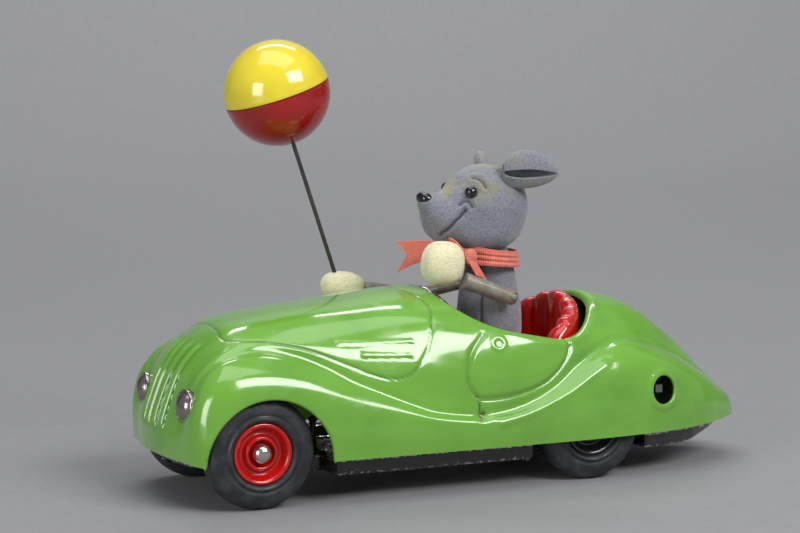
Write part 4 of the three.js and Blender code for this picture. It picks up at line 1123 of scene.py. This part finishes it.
def build_torso():
    """Stuffed felt body, with a seam down its front left painted darker as shade, and a soft waist."""
    r = TORSO["r"]
    profile = rounded([(0.4, SEAT_Z + 0.3), (r - 1.4, SEAT_Z + 0.3), (r - 0.4, SEAT_Z + 1.0), (r + 0.3, 29.5),
                       (r + 0.3, 33.0), (r, 37.0), (r - 0.9, 41.0), (r - 1.5, 44.0), (5.0, 46.6),
                       (4.0, 48.2)], 7)
    profile = [(0, SEAT_Z + 0.3), *profile, (0, 48.2)]
    points, faces = turned(profile, np.array([TORSO["x"], 0, 0]), [0, 0, 1], 140)
    middle = np.array([TORSO["x"], 0, 0])
    out = (points - middle) * [1, 1, 0]
    reach = np.maximum(np.linalg.norm(out, axis=1, keepdims=True), 1e-6)
    seam_knots = [(-4.4, 5.9, 27.0), (-4.2, 5.6, 31.0), (-4.4, 5.4, 36.0), (-4.6, 5.0, 41.0)]
    seam = line_distance(points, spline(seam_knots, np.linspace(0, 1, 14)))
    lift = 0.2 * lumps(points, 3.4, 2.0) + 0.06 * lumps(points, 0.9, 8.0) - 0.45 * bell(seam, 0.4)
    lift = lift * (reach[:, 0] > 3)
    points = points + out / reach * lift[:, None]
    stain = np.clip(0.12 + 0.3 * lumps(points, 5.0), 0, 0.5)
    # The seam's crease is painted darker as shade.
    torso = add_piece("torso", points, faces, "car", "felt", FELT, ["mouse_torso"], 80.0,
                      {"groove_shade_and_ink": 0.85 * bell(seam, 0.32), "stain": stain})


def strip(centre_line, across, width, rows_across=14, wall=0.28, notch=0.0, pleats=0):
    """A ribbon along a line: across gives its width's direction at each point, and notch cuts a fishtail."""
    line = np.asarray(centre_line, float)
    across = np.asarray(across, float)
    widths = np.full(len(line), width, float) if np.isscalar(width) else np.asarray(width, float)
    length = np.concatenate([[0], np.cumsum(np.linalg.norm(np.diff(line, axis=0), axis=1))])
    along = np.gradient(line, axis=0)
    along /= np.linalg.norm(along, axis=1, keepdims=True)
    side = across / np.linalg.norm(across, axis=1, keepdims=True)
    normal = np.cross(along, side)
    offset = np.linspace(-0.5, 0.5, rows_across)
    points, uv = [], []
    for i in range(len(line)):
        for t in offset:
            pull = notch * max(0.0, 1 - abs(t) * 2) * (i / (len(line) - 1)) ** 3
            pleat = 0.22 * math.sin(2 * math.pi * pleats * (t + 0.5)) if pleats else 0.0
            points.append(line[i] + side[i] * widths[i] * t - along[i] * pull + normal[i] * pleat)
            uv.append((t * widths[i], length[i]))
    points = np.array(points)
    faces = grid_faces(len(line), rows_across)
    thick, faces = thicken(points, faces, wall)
    return thick, faces, np.tile(np.array(uv), (2, 1))


def build_ribbon():
    """A band wound round the neck, a knot on the left, a short tail down and a notched tail forward."""
    parts, uvs = [], []
    angle = np.linspace(0, 2 * math.pi, 121)
    centre = np.array([-7.5, 0, 0])
    low = 46.7 + 0.9 * np.cos(angle)
    radius = 7.35 + 0.12 * np.sin(5 * angle)
    line = centre + np.column_stack([radius * np.cos(angle), radius * np.sin(angle), low])
    lean = np.column_stack([-0.14 * np.cos(angle), -0.14 * np.sin(angle), np.ones(len(angle))])
    parts.append(strip(line, lean, 3.7 + 0.35 * np.sin(2 * angle + 1), 18, pleats=3))
    down_knots = [(-0.6, 7.4, 48.0), (-0.4, 8.8, 46.6), (-1.2, 9.4, 44.8), (-2.5, 9.5, 42.6)]
    down = spline(down_knots, np.linspace(0, 1, 24))
    parts.append(strip(down, np.tile([0.9, 0.1, 0.42], (24, 1)), np.linspace(2.4, 3.2, 24), 12, notch=0.5))
    forward_knots = [(0.2, 7.2, 47.6), (3.6, 4.4, 48.6), (7.2, 1.6, 48.4), (10.4, 0.2, 47.8),
                     (13.4, -0.6, 47.0)]
    forward = spline(forward_knots, np.linspace(0, 1, 34))
    flare = np.interp(np.linspace(0, 1, 34), [0, 0.3, 0.7, 1], [2.6, 3.6, 5.2, 7.0])
    parts.append(strip(forward, np.tile([0.08, 0.1, 1.0], (34, 1)), flare, 18, notch=2.6))
    loop_knots = [(0.4, 7.2, 47.0), (2.6, 6.4, 49.6), (3.4, 4.6, 50.2), (1.4, 6.0, 48.2)]
    loop = spline(loop_knots, np.linspace(0, 1, 24))
    parts.append(strip(loop, np.tile([0.2, 0.5, 0.9], (24, 1)), 2.6, 10))
    knot_centre = np.array([-0.3, 7.9, 47.4])
    knot = ellipsoid(knot_centre, np.array([1.5, 1.1, 1.7]), 26, 36, 2.3)
    points, faces = merge(*[(p, f) for p, f, _ in parts], knot)
    knot_uv = (knot[0] - knot_centre)[:, [0, 2]]
    uv = np.concatenate([u for _, _, u in parts] + [knot_uv])
    points[-len(knot[0]):] += 0.12 * np.sin(knot_uv[:, :1] * 4.0) * [0, 1, 0]
    add_piece("ribbon_tied", points, faces, "car", "ribbon", RIBBON, ["neck_ribbon"], 60.0, uv=uv)


def mitt(centre, radii, seed, forward, seam_normal):
    """A stuffed hand: a slightly square ball with a seam round its edge, painted darker there as shade."""
    points, faces = ellipsoid(np.zeros(3), np.ones(3), 70, 110, 2.35)
    seam = np.abs(points @ np.asarray(seam_normal, float))
    ridge = 0.05 * bell(seam - 0.08, 0.06) - 0.05 * bell(seam, 0.045)
    shape = points * (1 + 0.035 * lumps(points, 0.8, seed) + ridge)[:, None] * radii
    z = np.asarray(forward, float) / np.linalg.norm(forward)
    turn = frame_to(z)
    world = shape @ np.stack([z, turn[:, 1], turn[:, 0]], 0)
    # The third value is painted shade along the seam.
    return world + centre, faces, 0.45 * bell(seam, 0.04)


def build_hands():
    left = centre_of("left_hand")
    right = centre_of("right_hand")
    elbow = np.array([1.0, -17.8, 36.6])
    for name, place, radii, body, node, forward, plane in (
        ("left_mitt", left, (4.7, 4.6, 3.7), "car", "left_hand", (1, 0, 0.1), (0.25, 0, 0.97)),
        ("right_mitt", right, (5.0, 3.2, 2.9), "ball_arm", "right_hand", right - elbow, (0, 0.3, 0.95)),
    ):
        seed = 3.0 if name == "left_mitt" else 7.0
        points, faces, groove_shade_and_ink = mitt(place, np.array(radii), seed, forward, plane)
        hand = add_piece(name, points, faces, body, "hand_cream", PLUSH, [node], 80.0, {"groove_shade_and_ink": groove_shade_and_ink})


def build_arms():
    """Painted tubes, flattened where the shoulder pin goes through."""
    for name, knots, thick, body, node in (
        ("left_tube", [(-9.4, 9.5, 38.2), (-4.0, 9.1, 40.3), (1.4, 8.6, 42.3)], 1.85, "car", "left_arm"),
        ("right_tube", [(-6.8, -9.5, 39.4), (1.0, -17.2, 36.8), (13.2, -19.0, 38.4)], 1.4,
         "ball_arm", "right_arm"),
    ):
        line = spline(knots, np.linspace(0, 1, 40))
        a, b = line[0], line[-1]
        back = (line[0] - line[1]) / np.linalg.norm(line[0] - line[1])
        path = np.concatenate([line[0] + back * np.array([[1.45], [1.3], [0.95], [0.4]]), line[1:]])
        radius = thick * np.concatenate([[0.16, 0.5, 0.76, 0.9], np.linspace(0.92, 1.0, len(line) - 1)])
        points, faces = tube(path, radius, 36)
        share = (points - a) @ (b - a) / ((b - a) @ (b - a))
        wear = 0.35 * bell(share, 0.12) + 0.2 * np.clip(lumps(points, 2.5, 4.0), 0, 1) + 0.12
        add_piece(name, points, faces, body, "arm_tin", ARM_TIN, [node], 60.0, {"wear": wear})


def build_shoulder_pins():
    """Domed rivets that hang the arms on the torso."""
    for name, side, body in (("left", 1, "car"), ("right", -1, "car")):
        node = f"shoulder_pin_{name}"
        place, length = centre_of(node), half_of(node)[1]
        profile = rounded([(0, length), (0.5, length - 0.12), (0.75, length - 0.5)], 4)
        profile += [(0.75, -length + 0.2), (0.55, -length), (0, -length)]
        points, faces = turned(profile[::-1], place, [0, side, 0], 40)
        wear = {"wear": np.full(len(points), 0.2)}
        add_piece(f"rivet_{name}", points, faces, body, "steel", ARM_TIN, [node], attributes=wear)


BALL = {"centre": np.array([33.5, -20.0, 82.4]), "r": 11.75, "wall": 0.4}
ROD = {"foot": np.array([17.6, -20.0, 35.2]), "r": 0.45, "past_centre": 9.6}


def build_ball():
    """Wire rod through a ball of two pressed halves, the seam square to the rod."""
    ball, foot, r = BALL["centre"], ROD["foot"], BALL["r"]
    reach = np.linalg.norm(ball - foot)
    axis = (ball - foot) / reach
    path = [foot + axis * t for t in np.linspace(0, reach + ROD["past_centre"], 12)]
    add_piece("wire_rod", *tube(path, ROD["r"], 18), "ball_arm", "steel", DARK_STEEL, ["ball_rod"])
    start = math.asin(0.1 / r)
    for name, side, node, slot, material, hole in (
        ("half_upper", 1, "ball_upper", "ball_yellow", BALL_YELLOW, 0.0),
        ("half_lower", -1, "ball_lower", "ball_red", BALL_RED, 0.6),
    ):
        angles = np.linspace(start, math.pi / 2 - (math.asin(hole / r) if hole else 0), 48)
        bead = 0.09 * bell((angles - start) * r - 0.5, 0.35)
        outer = [((r + w) * math.cos(t), side * (r + w) * math.sin(t)) for t, w in zip(angles, bead)]
        inner_r = r - BALL["wall"]
        inner = [(inner_r * math.cos(t), side * inner_r * math.sin(t)) for t in angles[::-1]]
        if not hole:
            outer[-1], inner[0] = (0, outer[-1][1]), (0, inner[0][1])
            points, faces = turned([*inner, *outer], ball, axis, 120)
        else:
            points, faces = turned(outer + inner, ball, axis, 120)
        add_piece(name, points, faces, "ball_arm", slot, material, [node], 40.0)


def dress_cad_nodes():
    """Finishes for the CAD nodes that are shown as they are."""
    brass = {"great_wheel", "second_wheel", "axle_pinion", "governor_disc"}
    for name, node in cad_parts.items():
        if node.hide_render:
            continue
        material = BRASS if name in brass else STEEL
        if node.material_slots:
            for slot in node.material_slots:
                slot.material = material
        else:
            node.data.materials.append(material)


# Studio

def build_stage():
    """A pale floor that curves up behind into a backdrop."""
    width, near, far, height, bend = 2.4, -1.6, 1.3, 1.5, 0.5
    line = [(-near, 0.0), (0.0, 0.0), (-(far - bend), 0.0)]
    for k in range(1, 13):
        angle = math.pi / 2 * k / 12
        line.append((-(far - bend) - bend * math.sin(angle), bend * (1 - math.cos(angle))))
    line.append((-far, height))
    back = np.array([0.411, 0.911])
    side = np.array([-0.911, 0.411])
    points, faces = [], []
    for depth, z in line:
        for s in (-width, width):
            points.append((*(back * depth + side * s), z))
    for k in range(len(line) - 1):
        faces.append([2 * k, 2 * k + 1, 2 * k + 3, 2 * k + 2])
    mesh = bpy.data.meshes.new("floor")
    mesh.from_pydata(points, [], faces)
    mesh.shade_smooth()
    f = Finish("floor_paper", (0.26, 0.26, 0.265), 0.8, Specular_IOR_Level=0.2)
    f.tint((0.235, 0.235, 0.24), f.remap(f.noise(3.0, 5.0), 0.4, 0.7, 0.0, 0.5))
    f.bump(f.noise(0.8, 4.0), 0.04, 0.3)
    mesh.materials.append(f.material)
    floor = bpy.data.objects.new("floor", mesh)
    bpy.context.scene.collection.objects.link(floor)


def aim(thing, target):
    thing.rotation_euler = (Vector(target) - thing.location).to_track_quat("-Z", "Y").to_euler()


def add_light(name, direction, distance, size, watts, target=(0, 0, 0.035), color=(1, 1, 1)):
    """A soft box in a direction from its target, facing it."""
    data = bpy.data.lights.new(name, "AREA")
    data.shape = "RECTANGLE"
    data.size, data.size_y = size
    data.energy = watts
    data.color = color
    light = bpy.data.objects.new(name, data)
    bpy.context.scene.collection.objects.link(light)
    light.location = Vector(direction).normalized() * distance + Vector(target)
    aim(light, target)


def build_lights():
    add_light("key", (-0.3, 0.72, 0.62), 0.78, (0.44, 0.3), 4.6)
    add_light("front", (0.95, 0.42, 0.22), 0.7, (0.26, 0.3), 1.8)
    add_light("top", (0.1, 0.1, 1.0), 0.9, (0.9, 0.6), 3.4)
    add_light("backdrop", (0.25, 0.45, 0.75), 0.9, (0.9, 0.4), 11.0, target=(-0.5, -1.2, 0.4))
    world = bpy.data.worlds.new("room")
    world.use_nodes = True
    world.node_tree.nodes["Background"].inputs["Color"].default_value = (0.86, 0.9, 1.0, 1)
    world.node_tree.nodes["Background"].inputs["Strength"].default_value = 0.3
    bpy.context.scene.world = world
    bpy.context.scene.view_settings.view_transform = "Standard"


def build_camera():
    data = bpy.data.cameras.new("camera")
    data.lens = 108.1
    data.sensor_width = 36.0
    camera = bpy.data.objects.new("camera", data)
    bpy.context.scene.collection.objects.link(camera)
    camera.location = Vector(to_row([226.7, 473.9, 102.8]))
    aim(camera, to_row([12.81, 0, 45.0]))
    bpy.context.scene.camera = camera


build_body()
build_headlights()
build_wheels()
build_tray()
build_seat()
build_steering_wheel()
build_head()
build_ears()
build_torso()
build_ribbon()
build_hands()
build_arms()
build_shoulder_pins()
build_ball()
dress_cad_nodes()
build_stage()
build_lights()
build_camera()
